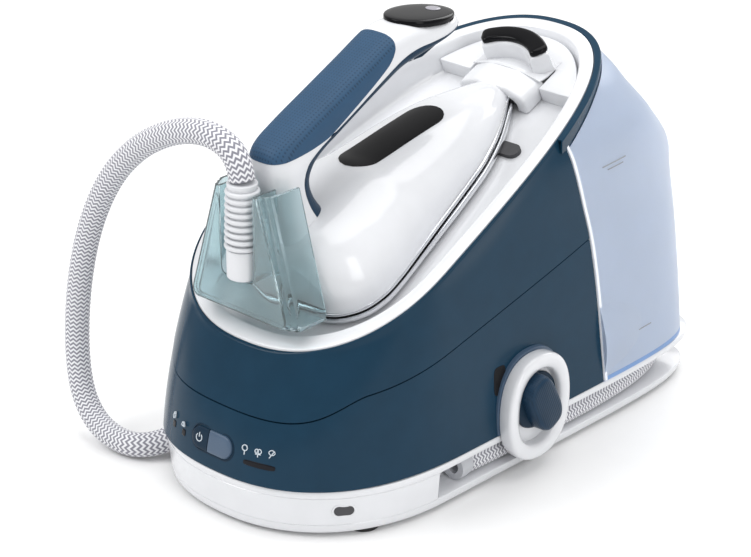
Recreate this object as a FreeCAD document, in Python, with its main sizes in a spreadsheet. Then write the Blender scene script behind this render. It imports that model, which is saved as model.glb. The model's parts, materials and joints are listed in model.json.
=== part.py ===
import FreeCAD, Part
import math
import os
import Sketcher
from FreeCAD import Placement, Rotation, Vector

# Steam generator iron on its station. Millimetres. The control panel faces -Y, +X is the
# right-hand side, +Z is up. The origin is the centre of the base on the resting plane.

doc = FreeCAD.newDocument("SteamStation")

# ---------------------------------------------------------------- driving dimensions

SIZES = [
    # base
    ("tray_half_length", 205.0), ("tray_half_width", 104.9), ("tray_flare", 3.4),
    ("tray_middle", -88.3), ("tray_under", 3.0), ("tray_top", 36.0),
    ("groove_low", 10.0), ("groove_high", 30.0), ("groove_core_half_width", 82.0),
    ("groove_core_reach", 177.0), ("groove_right_start", -99.0), ("groove_left_start", -176.0),
    ("foot_radius", 11.0),
    # walls and gaps
    ("wall", 3.0), ("lip_gap", 0.4), ("seam_gap", 0.4),
    # body outline, level by level: height, half width, rear reach, rear roundness
    ("sill_height", 36.0), ("sill_wide", 108.6), ("sill_rear", 196.0), ("sill_round", 4.6),
    ("waist_height", 110.0), ("waist_wide", 105.2), ("waist_rear", 200.3), ("waist_round", 4.4),
    ("hip_height", 170.0), ("hip_wide", 100.6), ("hip_rear", 210.0), ("hip_round", 3.95),
    ("shoulder_height", 210.0), ("shoulder_wide", 97.5), ("shoulder_rear", 179.2),
    ("shoulder_round", 4.2), ("neck_height", 240.0), ("neck_wide", 84.6), ("neck_rear", 153.9),
    ("neck_round", 4.0), ("crown_height", 268.0), ("crown_wide", 61.2), ("crown_rear", 140.4),
    ("crown_round", 2.9),
    ("front_reach_low", -208.5), ("front_reach_mid", -197.1), ("front_reach_high", -176.8),
    ("front_level_mid", 80.0), ("front_level_high", 122.0), ("front_round", 2.51),
    ("middle_low", -69.7), ("middle_high", -113.5), ("middle_level_high", 266.0),
    # deck
    ("rim_half_width", 100.5), ("rim_front", -176.4), ("rim_rear", 141.9),
    ("rim_middle", -85.2), ("rim_front_round", 2.315), ("rim_rear_round", 2.34),
    ("rim_wide", 10.0), ("rim_thick", 3.0), ("band_wide", 5.5),
    ("deck_end", 215.0), ("deck_front_level", 96.7), ("deck_mid_level", 214.9),
    ("deck_rear_level", 282.3), ("tray_floor_drop", 3.0), ("tray_floor_thick", 3.0),
    ("platform_rise", 9.0), ("platform_start", 250.0),
    # seam between the two housings, seen from the side
    ("seam_rear_level", 151.5), ("seam_slope", 0.235), ("seam_front_level", 79.5),
    # tank border, seen from the side
    ("border_low", 74.5), ("border_kink", 61.0), ("border_high", 32.0),
    ("border_kink_level", 155.0), ("border_high_level", 246.0), ("tank_wall", 2.5),
    ("tank_shelf_level", 152.0), ("dock_half_width", 26.0),
    # iron: the heel point of its sole plane, and the slope it rests at
    ("heel_along", -140.0), ("heel_level", 126.0), ("slope", 24.3),
    ("sole_thick", 5.0), ("skirt_level", 8.0), ("handle_half_width", 18.0),
    ("handle_head_half_width", 20.5), ("shell_wall", 2.6),
    ("cap_half_width", 21.0), ("cap_half_length", 27.5), ("cap_thick", 5.0),
    ("cap_tilt", 28.3), ("trigger_pin_radius", 1.5), ("trigger_pin_gap", 0.06),
    # lock
    ("lock_half_width", 31.0), ("lock_travel", 11.0),
    # knob and its filter
    ("knob_along", -10.0), ("knob_level", 51.0), ("ring_half_width", 32.0),
    ("ring_half_height", 39.0), ("ring_bore_half_width", 22.5), ("ring_bore_half_height", 29.0),
    ("ring_back", 109.4), ("ring_front", 120.0), ("knob_radius", 21.6), ("knob_front", 126.5),
    ("filter_radius", 13.0), ("filter_gap", 0.05), ("filter_length", 62.0),
    # tank valve
    ("valve_along", 128.0), ("valve_radius", 7.0), ("lid_half_width", 28.0),
    # buttons
    ("pill_half_length", 19.0), ("pill_half_height", 8.2), ("button_gap", 0.4),
    ("button_travel", 1.5),
    # hose
    ("hose_radius", 8.75), ("sleeve_radius", 11.5), ("sleeve_top", 232.0),
    ("sleeve_bottom", 166.0), ("sleeve_along", -174.0),
    # boiler and pump
    ("boiler_radius", 48.0), ("boiler_height", 62.0), ("pump_radius", 17.0),
]

sheet = doc.addObject("Spreadsheet::Sheet", "Sizes")
for row, (alias, value) in enumerate(SIZES, start=1):
    sheet.set("A%d" % row, alias)
    sheet.set("B%d" % row, str(value))
    sheet.setAlias("B%d" % row, alias)
doc.recompute()


def size(alias):
    return float(sheet.get(alias))


# ---------------------------------------------------------------- helpers

nodes = []
NOWHERE = Placement()
IRON_PLACE = Placement(Vector(0, size("heel_along"), size("heel_level")),
                       Rotation(Vector(1, 0, 0), size("slope")))
ALONG_X = Rotation(Vector(0, 1, 0), 90)
ALONG_Y = Rotation(Vector(1, 0, 0), -90)


def sub_part(name, item, place=None):
    """Name a finished sub-part and, where one is given, put it in its place."""
    item.Label = name
    if place is not None:
        item.Placement = place
    nodes.append(item)
    return item


def at(x, y, z, turn=None):
    return Placement(Vector(x, y, z), turn or Rotation())


def primitive(kind, name, place, **formulas):
    """A Part primitive whose sizes are formulas on the sheet."""
    item = doc.addObject("Part::" + kind, name)
    for dimension, formula in formulas.items():
        item.setExpression(dimension, formula)
    item.Placement = place
    return item


def fuse(name, *items):
    whole = doc.addObject("Part::MultiFuse", name)
    whole.Shapes = list(items)
    return whole


def cut(name, base, *tools):
    left = doc.addObject("Part::Cut", name)
    left.Base = base
    left.Tool = tools[0] if len(tools) == 1 else fuse(name + "_tools", *tools)
    return left


def shaped(name, shape, place=None):
    """A sub-part of free form, whose shape is worked out from the sheet in this file."""
    item = doc.addObject("Part::Feature", name)
    item.Shape = shape
    if place is not None:
        item.Placement = place
    return item


def sketch_in(body, plane, name):
    sketch = body.newObject("Sketcher::SketchObject", name)
    origin = next(f for f in body.Origin.OriginFeatures if f.Role == plane)
    sketch.AttachmentSupport = [(origin, "")]
    sketch.MapMode = "FlatFace"
    return sketch


def bind_outline(sketch, corners):
    """A closed outline of straight edges; each corner is a pair of formulas on the sheet."""
    count = len(corners)
    ring = [Vector(40 * math.cos(2 * math.pi * i / count),
                   40 * math.sin(2 * math.pi * i / count), 0) for i in range(count)]
    for i in range(count):
        sketch.addGeometry(Part.LineSegment(ring[i], ring[(i + 1) % count]), False)
    for i in range(count):
        sketch.addConstraint(Sketcher.Constraint("Coincident", i, 2, (i + 1) % count, 1))
    for i, (across, up) in enumerate(corners):
        for kind, formula, start in (("DistanceX", across, ring[i].x), ("DistanceY", up, ring[i].y)):
            index = sketch.addConstraint(Sketcher.Constraint(kind, -1, 1, i, 1, start))
            sketch.setExpression("Constraints[%d]" % index, formula)


def turned(name, corners):
    """A body of revolution about its own Z; corners are (radius, height) formulas."""
    body = doc.addObject("PartDesign::Body", name)
    sketch = sketch_in(body, "XZ_Plane", name + "_profile")
    bind_outline(sketch, corners)
    spin = body.newObject("PartDesign::Revolution", name + "_turn")
    spin.Profile = sketch
    spin.ReferenceAxis = (sketch, ["V_Axis"])
    spin.Angle = 360
    sketch.Visibility = False
    return body


def plate(name, corners, height, plane="XY_Plane"):
    """A body padded from a straight-sided outline; corners and height are formulas."""
    body = doc.addObject("PartDesign::Body", name)
    sketch = sketch_in(body, plane, name + "_outline")
    bind_outline(sketch, corners)
    pad = body.newObject("PartDesign::Pad", name + "_pad")
    pad.Profile = sketch
    pad.setExpression("Length", height)
    return body


def block(low, high):
    return Part.makeBox(high[0] - low[0], high[1] - low[1], high[2] - low[2], Vector(*low))


def on_iron(shape):
    """A copy of a shape drawn in the iron's own frame, moved to where the iron rests."""
    placed = shape.copy()
    placed.Placement = IRON_PLACE
    return placed


def side_prism(points, half_width):
    """A prism across the whole width from corner points (y, z) seen from the side."""
    corners = [Vector(-half_width, y, z) for y, z in points]
    face = Part.Face(Part.makePolygon(corners + corners[:1]))
    return face.extrude(Vector(2 * half_width, 0, 0))


def smooth_loop(points):
    curve = Part.BSplineCurve()
    curve.interpolate(Points=points, PeriodicFlag=True)
    return Part.Wire([curve.toShape()])


OVAL_POINTS = 36


def oval(half_width, front, rear, middle, front_round, rear_round, height):
    """A level closed outline: a superellipse whose front and rear halves differ."""
    points = []
    for step in range(OVAL_POINTS):
        turn = 2 * math.pi * step / OVAL_POINTS
        c, s = math.cos(turn), math.sin(turn)
        power = rear_round if s > 0 else front_round
        reach = rear - middle if s > 0 else middle - front
        r = (abs(c) ** power + abs(s) ** power) ** (-1.0 / power)
        points.append(Vector(half_width * r * c, middle + reach * r * s, height))
    return smooth_loop(points)


def prism(wire, rise):
    return Part.Face(wire).extrude(Vector(0, 0, rise))


# ---------------------------------------------------------------- station envelope

LEVELS = ("sill", "waist", "hip", "shoulder", "neck", "crown")


def front_reach(level):
    """How far forward the body reaches at a height, through three known heights."""
    levels = [size("sill_height"), size("front_level_mid"), size("front_level_high")]
    reaches = [size("front_reach_low"), size("front_reach_mid"), size("front_reach_high")]
    total = 0.0
    for i in range(3):
        share = reaches[i]
        for j in range(3):
            if j != i:
                share *= (level - levels[j]) / (levels[i] - levels[j])
        total += share
    return total


def envelope(inset):
    wires = []
    climb = size("middle_high") - size("middle_low")
    for name in LEVELS:
        height = size(name + "_height")
        middle = size("middle_low") + climb * (height - size("sill_height")) / (
            size("middle_level_high") - size("sill_height"))
        wires.append(oval(size(name + "_wide") - inset, front_reach(height) + inset,
                          size(name + "_rear") - inset, middle, size("front_round"),
                          size(name + "_round"), height))
    return Part.makeLoft(wires, True, False)


def under_deck(drop):
    """Everything below the deck's curved top, lowered by a drop."""
    end = size("deck_end")
    far = 130.0
    a = Vector(-far, -end, size("deck_front_level") - drop)
    b = Vector(-far, 0, size("deck_mid_level") - drop)
    c = Vector(-far, end, size("deck_rear_level") - drop)
    low_c, low_a = Vector(-far, end, -10), Vector(-far, -end, -10)
    edges = [Part.Arc(a, b, c).toShape(), Part.LineSegment(c, low_c).toShape(),
             Part.LineSegment(low_c, low_a).toShape(), Part.LineSegment(low_a, a).toShape()]
    return Part.Face(Part.Wire(edges)).extrude(Vector(2 * far, 0, 0))


def rim_outline(inset):
    return oval(size("rim_half_width") - inset, size("rim_front") + inset,
                size("rim_rear") - inset, size("rim_middle"), size("rim_front_round"),
                size("rim_rear_round"), 0)


def rim_prism(inset):
    return prism(rim_outline(inset), 330)


def seam_points(shift):
    """The seam seen from the side: a straight climb that flattens round the front."""
    start = size("border_kink") + 20
    rear = size("seam_rear_level")
    slope = size("seam_slope")
    front = size("seam_front_level")
    turn_y = -(rear - front) / slope + size("border_kink") + 8
    return [(start, rear + shift + slope * 20), (turn_y, front + 8 + shift), (-215, front + shift)]


def border_points(shift):
    return [(size("border_low") + shift, 0), (size("border_low") + shift, 34),
            (size("border_kink") + shift, size("border_kink_level")),
            (size("border_high") + shift, size("border_high_level")),
            (size("border_high") + shift, 330)]


def before_border(shift):
    return side_prism(border_points(shift) + [(-240, 330), (-240, 0)], 130)


def behind_border(shift):
    return side_prism(border_points(shift) + [(240, 330), (240, 0)], 130)


def below_seam(shift):
    return side_prism(seam_points(shift) + [(-240, size("seam_front_level") + shift), (-240, 0),
                                            (size("border_kink") + 20, 0)], 130)


outer = envelope(0)
inner = envelope(size("wall"))
body_solid = outer.common(under_deck(0))

# ---------------------------------------------------------------- hose route


def route_edges(points):
    """Straight runs joined by tangent arcs, each as large as its two runs allow."""
    edges = []
    start = points[0]
    for before, corner, after in zip(points, points[1:], points[2:]):
        come = (corner - before).normalize()
        go = (after - corner).normalize()
        half_turn = come.getAngle(go) / 2.0
        setback = 0.45 * min((corner - before).Length, (after - corner).Length)
        radius = setback / math.tan(half_turn)
        first = corner - come * setback
        last = corner + go * setback
        bulge = (go - come).normalize()
        centre = corner + bulge * (radius / math.cos(half_turn))
        middle = centre - bulge * radius
        edges.append(Part.LineSegment(start, first).toShape())
        edges.append(Part.Arc(first, middle, last).toShape())
        start = last
        print("hose bend at (%.0f, %.0f, %.0f): radius %.0f" % (corner.x, corner.y, corner.z, radius))
    edges.append(Part.LineSegment(start, points[-1]).toShape())
    return edges


# From the grommet on the right, back along the groove, round the rear, forward along the
# left, out at the front left, then up in one tall loop to the sleeve on the iron's heel.
HOSE_IN_GROOVE = [
    (94.6, -60, 20), (95.8, -18, 20), (96.4, 38, 20), (95.2, 92, 20), (90, 138, 20),
    (77, 170, 20), (51, 188, 20), (15, 195.5, 20), (-24, 195.5, 20), (-58, 187, 20),
    (-82, 165, 20), (-92.5, 130, 20), (-96, 80, 20), (-96.6, 25, 20), (-96.2, -30, 20),
    (-94.5, -80, 20), (-90, -120, 19.4),
]
HOSE_LOOP = [
    (-87, -149, 15.5), (-88, -171, 11), (-99, -187, 9.6), (-118, -190, 9.5),
    (-139, -189, 14), (-154, -187.5, 28), (-161, -186, 49), (-162, -185, 80),
    (-157, -184, 120), (-145, -182.5, 163), (-123, -181, 204), (-95, -179, 233),
    (-62, -177.5, 252), (-34, -176, 259), (-14, -175, 256), (-2, -174.3, 246),
    (0, -174, 233.6),
]


def hose_tube(edges, radius):
    path = Part.Wire(edges)
    start = edges[0].Vertexes[0].Point
    heading = (edges[0].Vertexes[-1].Point - start).normalize()
    section = Part.Wire([Part.Circle(start, heading, radius).toShape()])
    tube = path.makePipeShell([section], True, False)
    expected = math.pi * radius ** 2 * path.Length
    print("hose length %.0f, volume against section times length: %.4f"
          % (path.Length, tube.Volume / expected))
    return tube


route = [Vector(*point) for point in HOSE_IN_GROOVE + HOSE_LOOP]
hose_edges = route_edges(route)
split_at = 2 * (len(HOSE_IN_GROOVE) - 1)
split_run = hose_edges[split_at]
split_start = split_run.Vertexes[0].Point
split_end = split_run.Vertexes[-1].Point
split_middle = (split_start + split_end) * 0.5
stored = hose_edges[:split_at] + [Part.LineSegment(split_start, split_middle).toShape()]
loose = [Part.LineSegment(split_middle, split_end).toShape()] + hose_edges[split_at + 1:]

# ---------------------------------------------------------------- base


def tray_section(height, inset):
    grown = size("tray_flare") * (height - size("tray_under")) / (
        size("tray_top") - size("tray_under"))
    half_length = size("tray_half_length") + grown - inset
    return oval(size("tray_half_width") + grown - inset, -half_length, half_length,
                size("tray_middle"), 2.25, 6.0, height)


def core_prism(inset, low, high):
    reach = size("groove_core_reach") - inset
    return prism(oval(size("groove_core_half_width") - inset, -reach, reach,
                      size("tray_middle"), 2.25, 5.0, low), high - low)


def base_tray():
    under, top = size("tray_under"), size("tray_top")
    low, high = size("groove_low"), size("groove_high")
    wall = size("wall")
    solid = Part.makeLoft([tray_section(under, 0), tray_section(top, 0)], True, False)
    ring = block((-130, -230, low), (130, 230, high)).cut(core_prism(0, low - 1, high + 1))
    ring = ring.cut(block((0, -240, 0), (140, size("groove_right_start"), 60)))
    ring = ring.cut(block((-140, -240, 0), (1, size("groove_left_start"), 60)))
    solid = solid.cut(ring)
    solid = solid.cut(core_prism(wall, under + wall, top - wall))
    front_room = core_prism(wall, under + wall, top + 1)
    solid = solid.cut(front_room.common(block((-130, -230, 0), (130, 66, 60))))
    front = Part.makeLoft([tray_section(under, wall + 0.6), tray_section(top, wall + 0.6)],
                          True, False)
    solid = solid.cut(front.common(block((-50, -230, under + wall), (110, -104, 60))))
    solid = solid.cut(front.common(block((-110, -230, high + 1), (110, 66, top - 1)))
                      .cut(block((-140, -90, 0), (-60, 66, 60))))
    for x, y in SCREW_PLACES:
        boss = Part.makeCylinder(4.5, 12.0, Vector(x, y, under + wall))
        solid = solid.fuse(boss)
        solid = solid.cut(Part.makeCylinder(2.05, 40, Vector(x, y, 0)))
        solid = solid.cut(Part.makeCylinder(4.4, 2.0, Vector(x, y, under)))
    solid = solid.cut(Part.makeCylinder(size("valve_radius") + 6, 40,
                                        Vector(0, size("valve_along"), 20)))
    gland_hole = stadium(16.6, 9.8, 30.0)
    gland_hole.Placement = GLAND_PLACE
    way_out = hose_tube(stored[-3:] + loose[:5], size("hose_radius") + 0.7)
    return solid.cut(gland_hole).cut(way_out)


def stadium(long, tall, deep):
    """A flat-sided oval bar along +X, centred on its axis: long across Y, tall in Z."""
    half = (long - tall) / 2.0
    bar = Part.makeBox(deep, 2 * half, tall, Vector(-deep / 2, -half, -tall / 2))
    for side in (-half, half):
        bar = bar.fuse(Part.makeCylinder(tall / 2, deep, Vector(-deep / 2, side, 0), Vector(1, 0, 0)))
    return bar.removeSplitter()


SCREW_PLACES = [(x, y) for y in (-130, -20, 50) for x in (-45, 45)]
GLAND_PLACE = at(85.5, -166.5, 20.5, Rotation(Vector(0, 0, 1), -35))

sub_part("base_tray", shaped("BaseTray", base_tray()))

feet = []
for i, (x, y) in enumerate([(80, -146), (-80, -146), (74, 165), (-74, 165)]):
    feet.append(primitive("Cylinder", "Foot%d" % i, at(x, y, 0), Radius="Sizes.foot_radius",
                          Height="Sizes.tray_under"))
feet.append(primitive("Cylinder", "MiddlePad", NOWHERE, Radius="Sizes.foot_radius",
                      Height="Sizes.tray_under"))
sub_part("rubber_feet", fuse("RubberFeet", *feet))

screws = []
for i, (x, y) in enumerate(SCREW_PLACES):
    head = primitive("Cylinder", "ScrewHead%d" % i, at(x, y, size("tray_under") + 0.2),
                     Radius="4.0", Height="1.8")
    shank = primitive("Cylinder", "ScrewShank%d" % i, at(x, y, size("tray_under") + 1),
                      Radius="2.0", Height="Sizes.tray_under + 13.5")
    screws.append(fuse("Screw%d" % i, head, shank))
sub_part("base_screws", fuse("BaseScrews", *screws))

CHASSIS_LEVEL = size("tray_under") + size("wall") + 12.2
chassis = plate("ChassisPlate", [("-52", "-146"), ("52", "-146"), ("74", "-100"), ("74", "62"),
                                 ("-74", "62"), ("-74", "-100")], "Sizes.wall")
sub_part("chassis_plate", chassis, at(0, 0, CHASSIS_LEVEL))

gland = stadium(16.4, 9.6, 8.0).cut(stadium(11.0, 5.0, 12.0))
sub_part("mains_gland", shaped("MainsGland", gland), GLAND_PLACE)

# ---------------------------------------------------------------- hose parts

sub_part("hose_stored", shaped("HoseStored", hose_tube(stored, size("hose_radius"))))
sub_part("hose_loop", shaped("HoseLoop", hose_tube(loose, size("hose_radius"))))

grommet = turned("HoseGrommet", [("5", "0"), ("Sizes.hose_radius + 0.9", "0"),
                                 ("Sizes.hose_radius + 0.9", "6"), ("Sizes.hose_radius", "12"),
                                 ("5", "12")])
sub_part("hose_grommet", grommet, at(94.3, -72.6, 20, ALONG_Y))

sleeve = turned("HoseSleeve", [("5", "0"), ("Sizes.sleeve_radius", "0"),
                               ("Sizes.sleeve_radius", "24"),
                               ("Sizes.hose_radius + 1.2", "Sizes.sleeve_top - Sizes.sleeve_bottom"),
                               ("5", "Sizes.sleeve_top - Sizes.sleeve_bottom")])
sub_part("hose_sleeve", sleeve, at(0, size("sleeve_along"), size("sleeve_bottom")))

# ---------------------------------------------------------------- control panel places

PANEL_TILT = Rotation(Vector(1, 0, 0), 90 - 14)      # local Z points out of the panel
PANEL_CENTRE = Vector(-2.0, -204.6, 54.5)


def panel(x, up, out):
    """A place on the control panel: across, up its slope, and out along its normal."""
    return Placement(PANEL_CENTRE, PANEL_TILT).multiply(at(x, up, out))


def pill(half_length, half_height, deep, low):
    """A flat-sided oval bar on the panel, its depth along the panel's normal."""
    bar = block((-half_length + half_height, -half_height, low),
                (half_length - half_height, half_height, low + deep))
    for side in (-1, 1):
        bar = bar.fuse(Part.makeCylinder(half_height, deep,
                                         Vector(side * (half_length - half_height), 0, low)))
    return bar.removeSplitter()


def on_panel(shape, x, up):
    placed = shape.copy()
    placed.Placement = panel(x, up, 0).multiply(shape.Placement)
    return placed


pill_long, pill_tall, button_gap = size("pill_half_length"), size("pill_half_height"), size("button_gap")
STRIP_PLACE = (40.0, -4.0)
STRIP_TURN = 22.0
LED_PLACES = [(-30.0, -2.0), (-43.0, -1.0)]

# ---------------------------------------------------------------- housings


def side_oval(half_width, half_height, low, high):
    """An upright oval bar along X round the knob, between two distances from the middle."""
    points = []
    for step in range(OVAL_POINTS):
        turn = 2 * math.pi * step / OVAL_POINTS
        c, s = math.cos(turn), math.sin(turn)
        r = (abs(c) ** 2.3 + abs(s) ** 2.3) ** (-1 / 2.3)
        points.append(Vector(low, size("knob_along") + half_width * r * c,
                             size("knob_level") + half_height * r * s))
    return Part.Face(smooth_loop(points)).extrude(Vector(high - low, 0, 0))


shell = body_solid.cut(inner)
lower_shell = shell.common(below_seam(-size("seam_gap") / 2)).common(before_border(-size("seam_gap")))
lower_shell = lower_shell.common(block((-130, -230, size("tray_top") + 0.2), (130, 230, 200)))
knob_hole = Part.makeCylinder(size("filter_radius") + 5.0, 40,
                              Vector(85, size("knob_along"), size("knob_level") + 4), Vector(1, 0, 0))
lower_shell = lower_shell.cut(knob_hole)
lower_shell = lower_shell.cut(side_oval(size("ring_half_width") + 2, size("ring_half_height") + 1,
                                        size("ring_back") - 0.7, 130))
lower_shell = lower_shell.cut(on_panel(pill(pill_long + 1.6, pill_tall + 1.6, 30, -15), 0, 0))
for x, up in LED_PLACES:
    lower_shell = lower_shell.cut(on_panel(pill(3.2, 2.0, 40, -25), x, up))
strip_cut = block((-16, -3.6, -25), (16, 3.6, 15))
strip_cut.rotate(Vector(0, 0, 0), Vector(0, 1, 0), STRIP_TURN)
lower_shell = lower_shell.cut(on_panel(strip_cut, *STRIP_PLACE))
sub_part("lower_fascia", shaped("LowerFascia", lower_shell))

seam_low = below_seam(size("seam_gap") / 2)
upper_shell = shell.cut(seam_low).common(before_border(-size("seam_gap")))
upper_shell = upper_shell.cut(under_deck(-20).cut(under_deck(size("rim_thick") + 0.3))
                              .common(rim_prism(-0.3)))
tub_room = on_iron(block((-200, -200, -size("tray_floor_drop") - size("tray_floor_thick") - 0.4),
                         (200, 500, 300)))
upper_shell = upper_shell.cut(tub_room.common(rim_prism(size("wall") + 0.3)))
# the dock: a tub that follows the rim round the rear, standing above the tank's low part
dock_outer = rim_prism(-size("band_wide")).common(under_deck(0.6))
dock_outer = dock_outer.common(block((-130, -20, size("tank_shelf_level") + 1.2), (130, 230, 330)))
dock_inner = rim_prism(-0.4)
dock_inner = dock_inner.cut(block((-130, -230, 0), (130, 230, size("tank_shelf_level") + 4.2)))
dock_wall = dock_outer.cut(dock_inner).common(behind_border(-size("seam_gap")))
dock_wall = dock_wall.common(outer)
upper_shell = upper_shell.fuse(dock_wall)
sub_part("upper_housing", shaped("UpperHousing", upper_shell))

# ---------------------------------------------------------------- deck


def slab(low, high):
    """A very wide layer between two heights over the sole plane."""
    return on_iron(block((-200, -200, low), (200, 500, high)))


def deck():
    drop, thick = size("tray_floor_drop"), size("tray_floor_thick")
    rim = rim_prism(0).common(under_deck(0)).cut(under_deck(size("rim_thick")))
    tub = rim_prism(size("wall") + 0.7).common(under_deck(size("rim_thick") - 0.01))
    tub = tub.common(slab(-drop - thick, 200))
    whole = rim.fuse(tub)
    hollow = rim_prism(size("rim_wide")).common(slab(-drop, 200))
    raised = block((-200, size("platform_start"), -200), (200, 500, size("platform_rise")))
    notch = block((-size("lock_half_width") - 0.7, 0, -drop),
                  (size("lock_half_width") + 0.7, 269, 100))
    hollow = hollow.cut(on_iron(raised.cut(notch)))
    return whole.cut(hollow).removeSplitter()


sub_part("deck", shaped("Deck", deck()))

PAD_PLACES = [(42, 197, 90), (-42, 197, 90), (32, 42, 0), (-32, 42, 0)]
pads = []
for x, along, turn in PAD_PLACES:
    pad = pill(10.5, 6.0, size("tray_floor_drop"), -size("tray_floor_drop"))
    pad.Placement = IRON_PLACE.multiply(at(x, along, 0, Rotation(Vector(0, 0, 1), 90 - turn)))
    pads.append(pad)
sub_part("deck_pads", shaped("DeckPads", Part.makeCompound(pads)))

# ---------------------------------------------------------------- lock


def arch(half_width, front, rear, side_rise, mid_rise, low):
    """A block with a crowned top, drawn across the iron's nose."""
    side = Vector(half_width, front, side_rise)
    peak = Vector(0, front, mid_rise)
    other = Vector(-half_width, front, side_rise)
    feet_right = Vector(half_width, front, low)
    feet_left = Vector(-half_width, front, low)
    edges = [Part.Arc(side, peak, other).toShape(), Part.LineSegment(other, feet_left).toShape(),
             Part.LineSegment(feet_left, feet_right).toShape(),
             Part.LineSegment(feet_right, side).toShape()]
    return Part.Face(Part.Wire(edges)).extrude(Vector(0, rear - front, 0))


def lock_parts():
    half = size("lock_half_width")
    rise = size("platform_rise")
    hood = arch(half, 234, 257, 10.5, 17.5, -size("tray_floor_drop") + 0.4)
    mouth = arch(22.5, 225, 258, 7.0, 13.8, -10)
    lead = Vector(0, -0.8, 0.6)
    sweep = mouth.copy()
    for step in (4, 8, 12):
        moved = mouth.copy()
        moved.translate(lead * step)
        sweep = sweep.fuse(moved)
    hood = hood.cut(sweep)
    bridge = arch(half, 256, 280, rise + 4.0, rise + 7.5, rise + 0.4)
    mound_outer = Part.makeCylinder(44, 20, Vector(0, 240, rise + 0.4))
    mound_inner = Part.makeCylinder(28, 30, Vector(0, 240, rise))
    mound = mound_outer.cut(mound_inner).common(block((-half, 262, 0), (half, 300, 40)))
    carriage = hood.fuse(bridge).fuse(mound).removeSplitter()
    pad = Part.makeCylinder(43, 3.2, Vector(0, 240, rise + 17.2))
    pad = pad.cut(Part.makeCylinder(31, 10, Vector(0, 240, rise + 15)))
    pad = pad.common(block((-27.5, 265, 0), (27.5, 300, 60)))
    return carriage.cut(pad), pad


lock_carriage, lock_pad = lock_parts()
sub_part("lock_carriage", shaped("LockCarriage", lock_carriage), IRON_PLACE)
sub_part("lock_pad", shaped("LockPad", lock_pad), IRON_PLACE)

# ---------------------------------------------------------------- water tank

tank_wall = size("tank_wall")
LID_PLACE = at(0, 170, 212, Rotation(Vector(1, 0, 0), -47))


def tank_space(inset):
    """The room the tank fills: low block behind the border and a collar round the dock."""
    room = envelope(inset + 0.3).common(behind_border(0.4 + inset)).common(under_deck(2.0 + inset))
    low = size("sill_height") + 0.4 + inset
    room = room.common(block((-130, -230, low), (130, 260, 330)))
    dock = rim_prism(-size("band_wide") - 0.4 - inset)
    dock = dock.common(block((-130, -230, size("tank_shelf_level") - inset), (130, 260, 330)))
    return room.cut(dock)


def water_tank():
    solid = tank_space(0)
    room = tank_space(tank_wall).common(block((-130, 96, 0), (130, 230, 225)))
    low_room = tank_space(tank_wall).common(block((-130, 0, 0), (130, 98, 149)))
    solid = solid.cut(room.fuse(low_room))
    half = size("lid_half_width")
    seat = block((-half - 0.4, -14.4, -3), (half + 0.4, 15.4, 30))
    seat.Placement = LID_PLACE
    mouth = block((-half + 4, -10, -40), (half - 4, 11, 30))
    mouth.Placement = LID_PLACE
    lug_room = Part.makeCylinder(3.0, 2 * half + 0.8, Vector(-half - 0.4, 14.4, -0.5), Vector(1, 0, 0))
    lug_room.Placement = LID_PLACE
    solid = solid.cut(seat).cut(mouth).cut(lug_room)
    radius = size("valve_radius")
    bore = Part.makeCylinder(radius + 0.35, 30, Vector(0, size("valve_along"), 20))
    return solid.cut(bore)


sub_part("water_tank", shaped("WaterTank", water_tank()))

lid_half = size("lid_half_width")
lid_shape = block((-lid_half, -14, -2.6), (lid_half, 12.0, -0.2))
lid_shape = lid_shape.fuse(block((-lid_half + 6, 11.0, -2.6), (lid_half - 6, 14.4, 0.4)))
lid_shape = lid_shape.fuse(Part.makeCylinder(2.4, 2 * lid_half - 12, Vector(-lid_half + 6, 14.4, -0.5),
                                             Vector(1, 0, 0)))
lid_shape = lid_shape.cut(Part.makeCylinder(1.26, 80, Vector(-40, 14.4, -0.5), Vector(1, 0, 0)))
sub_part("tank_lid", shaped("TankLid", lid_shape.removeSplitter()), LID_PLACE)
lid_pin = primitive("Cylinder", "LidPin", NOWHERE, Radius="1.2", Height="2 * Sizes.lid_half_width + 0.6")
sub_part("lid_pin", lid_pin, LID_PLACE.multiply(at(-lid_half - 0.3, 14.4, -0.5, ALONG_X)))

valve = turned("TankValve", [("0.5", "0"), ("Sizes.valve_radius - 1.5", "0"),
                             ("Sizes.valve_radius", "3"), ("Sizes.valve_radius", "12"),
                             ("Sizes.valve_radius - 3", "16"), ("0.5", "16")])
sub_part("tank_valve", valve, at(0, size("valve_along"), size("sill_height") + 0.5))
seal = primitive("Torus", "TankSeal", NOWHERE, Radius1="Sizes.valve_radius + 3.4", Radius2="1.2")
sub_part("tank_seal", seal, at(0, size("valve_along"), size("tray_top") - 1.3))

dock_bottom = size("tray_top") - size("wall") - 13
cup = turned("TankDock", [("Sizes.valve_radius - 2", "0"), ("Sizes.valve_radius + 5.6", "0"),
                          ("Sizes.valve_radius + 5.6", "16"), ("Sizes.valve_radius + 4.9", "16"),
                          ("Sizes.valve_radius + 4.9", "12"), ("Sizes.valve_radius - 2", "12")])
sub_part("tank_dock", cup, at(0, size("valve_along"), dock_bottom - 0.2))

# ---------------------------------------------------------------- knob and filter

KNOB_PLACE = at(0, size("knob_along"), size("knob_level") + 4, ALONG_X)


ring_back, ring_front = size("ring_back"), size("ring_front")
ring = side_oval(size("ring_half_width"), size("ring_half_height"), ring_back, ring_front)
ring = ring.cut(side_oval(size("ring_bore_half_width"), size("ring_bore_half_height"),
                          ring_back + 2.5, ring_front + 1))
ring = ring.cut(Part.makeCylinder(size("filter_radius") + 3.4, 40, Vector(100, size("knob_along"),
                                  size("knob_level") + 4), Vector(1, 0, 0)))
sub_part("knob_ring", shaped("KnobRing", ring))

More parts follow.
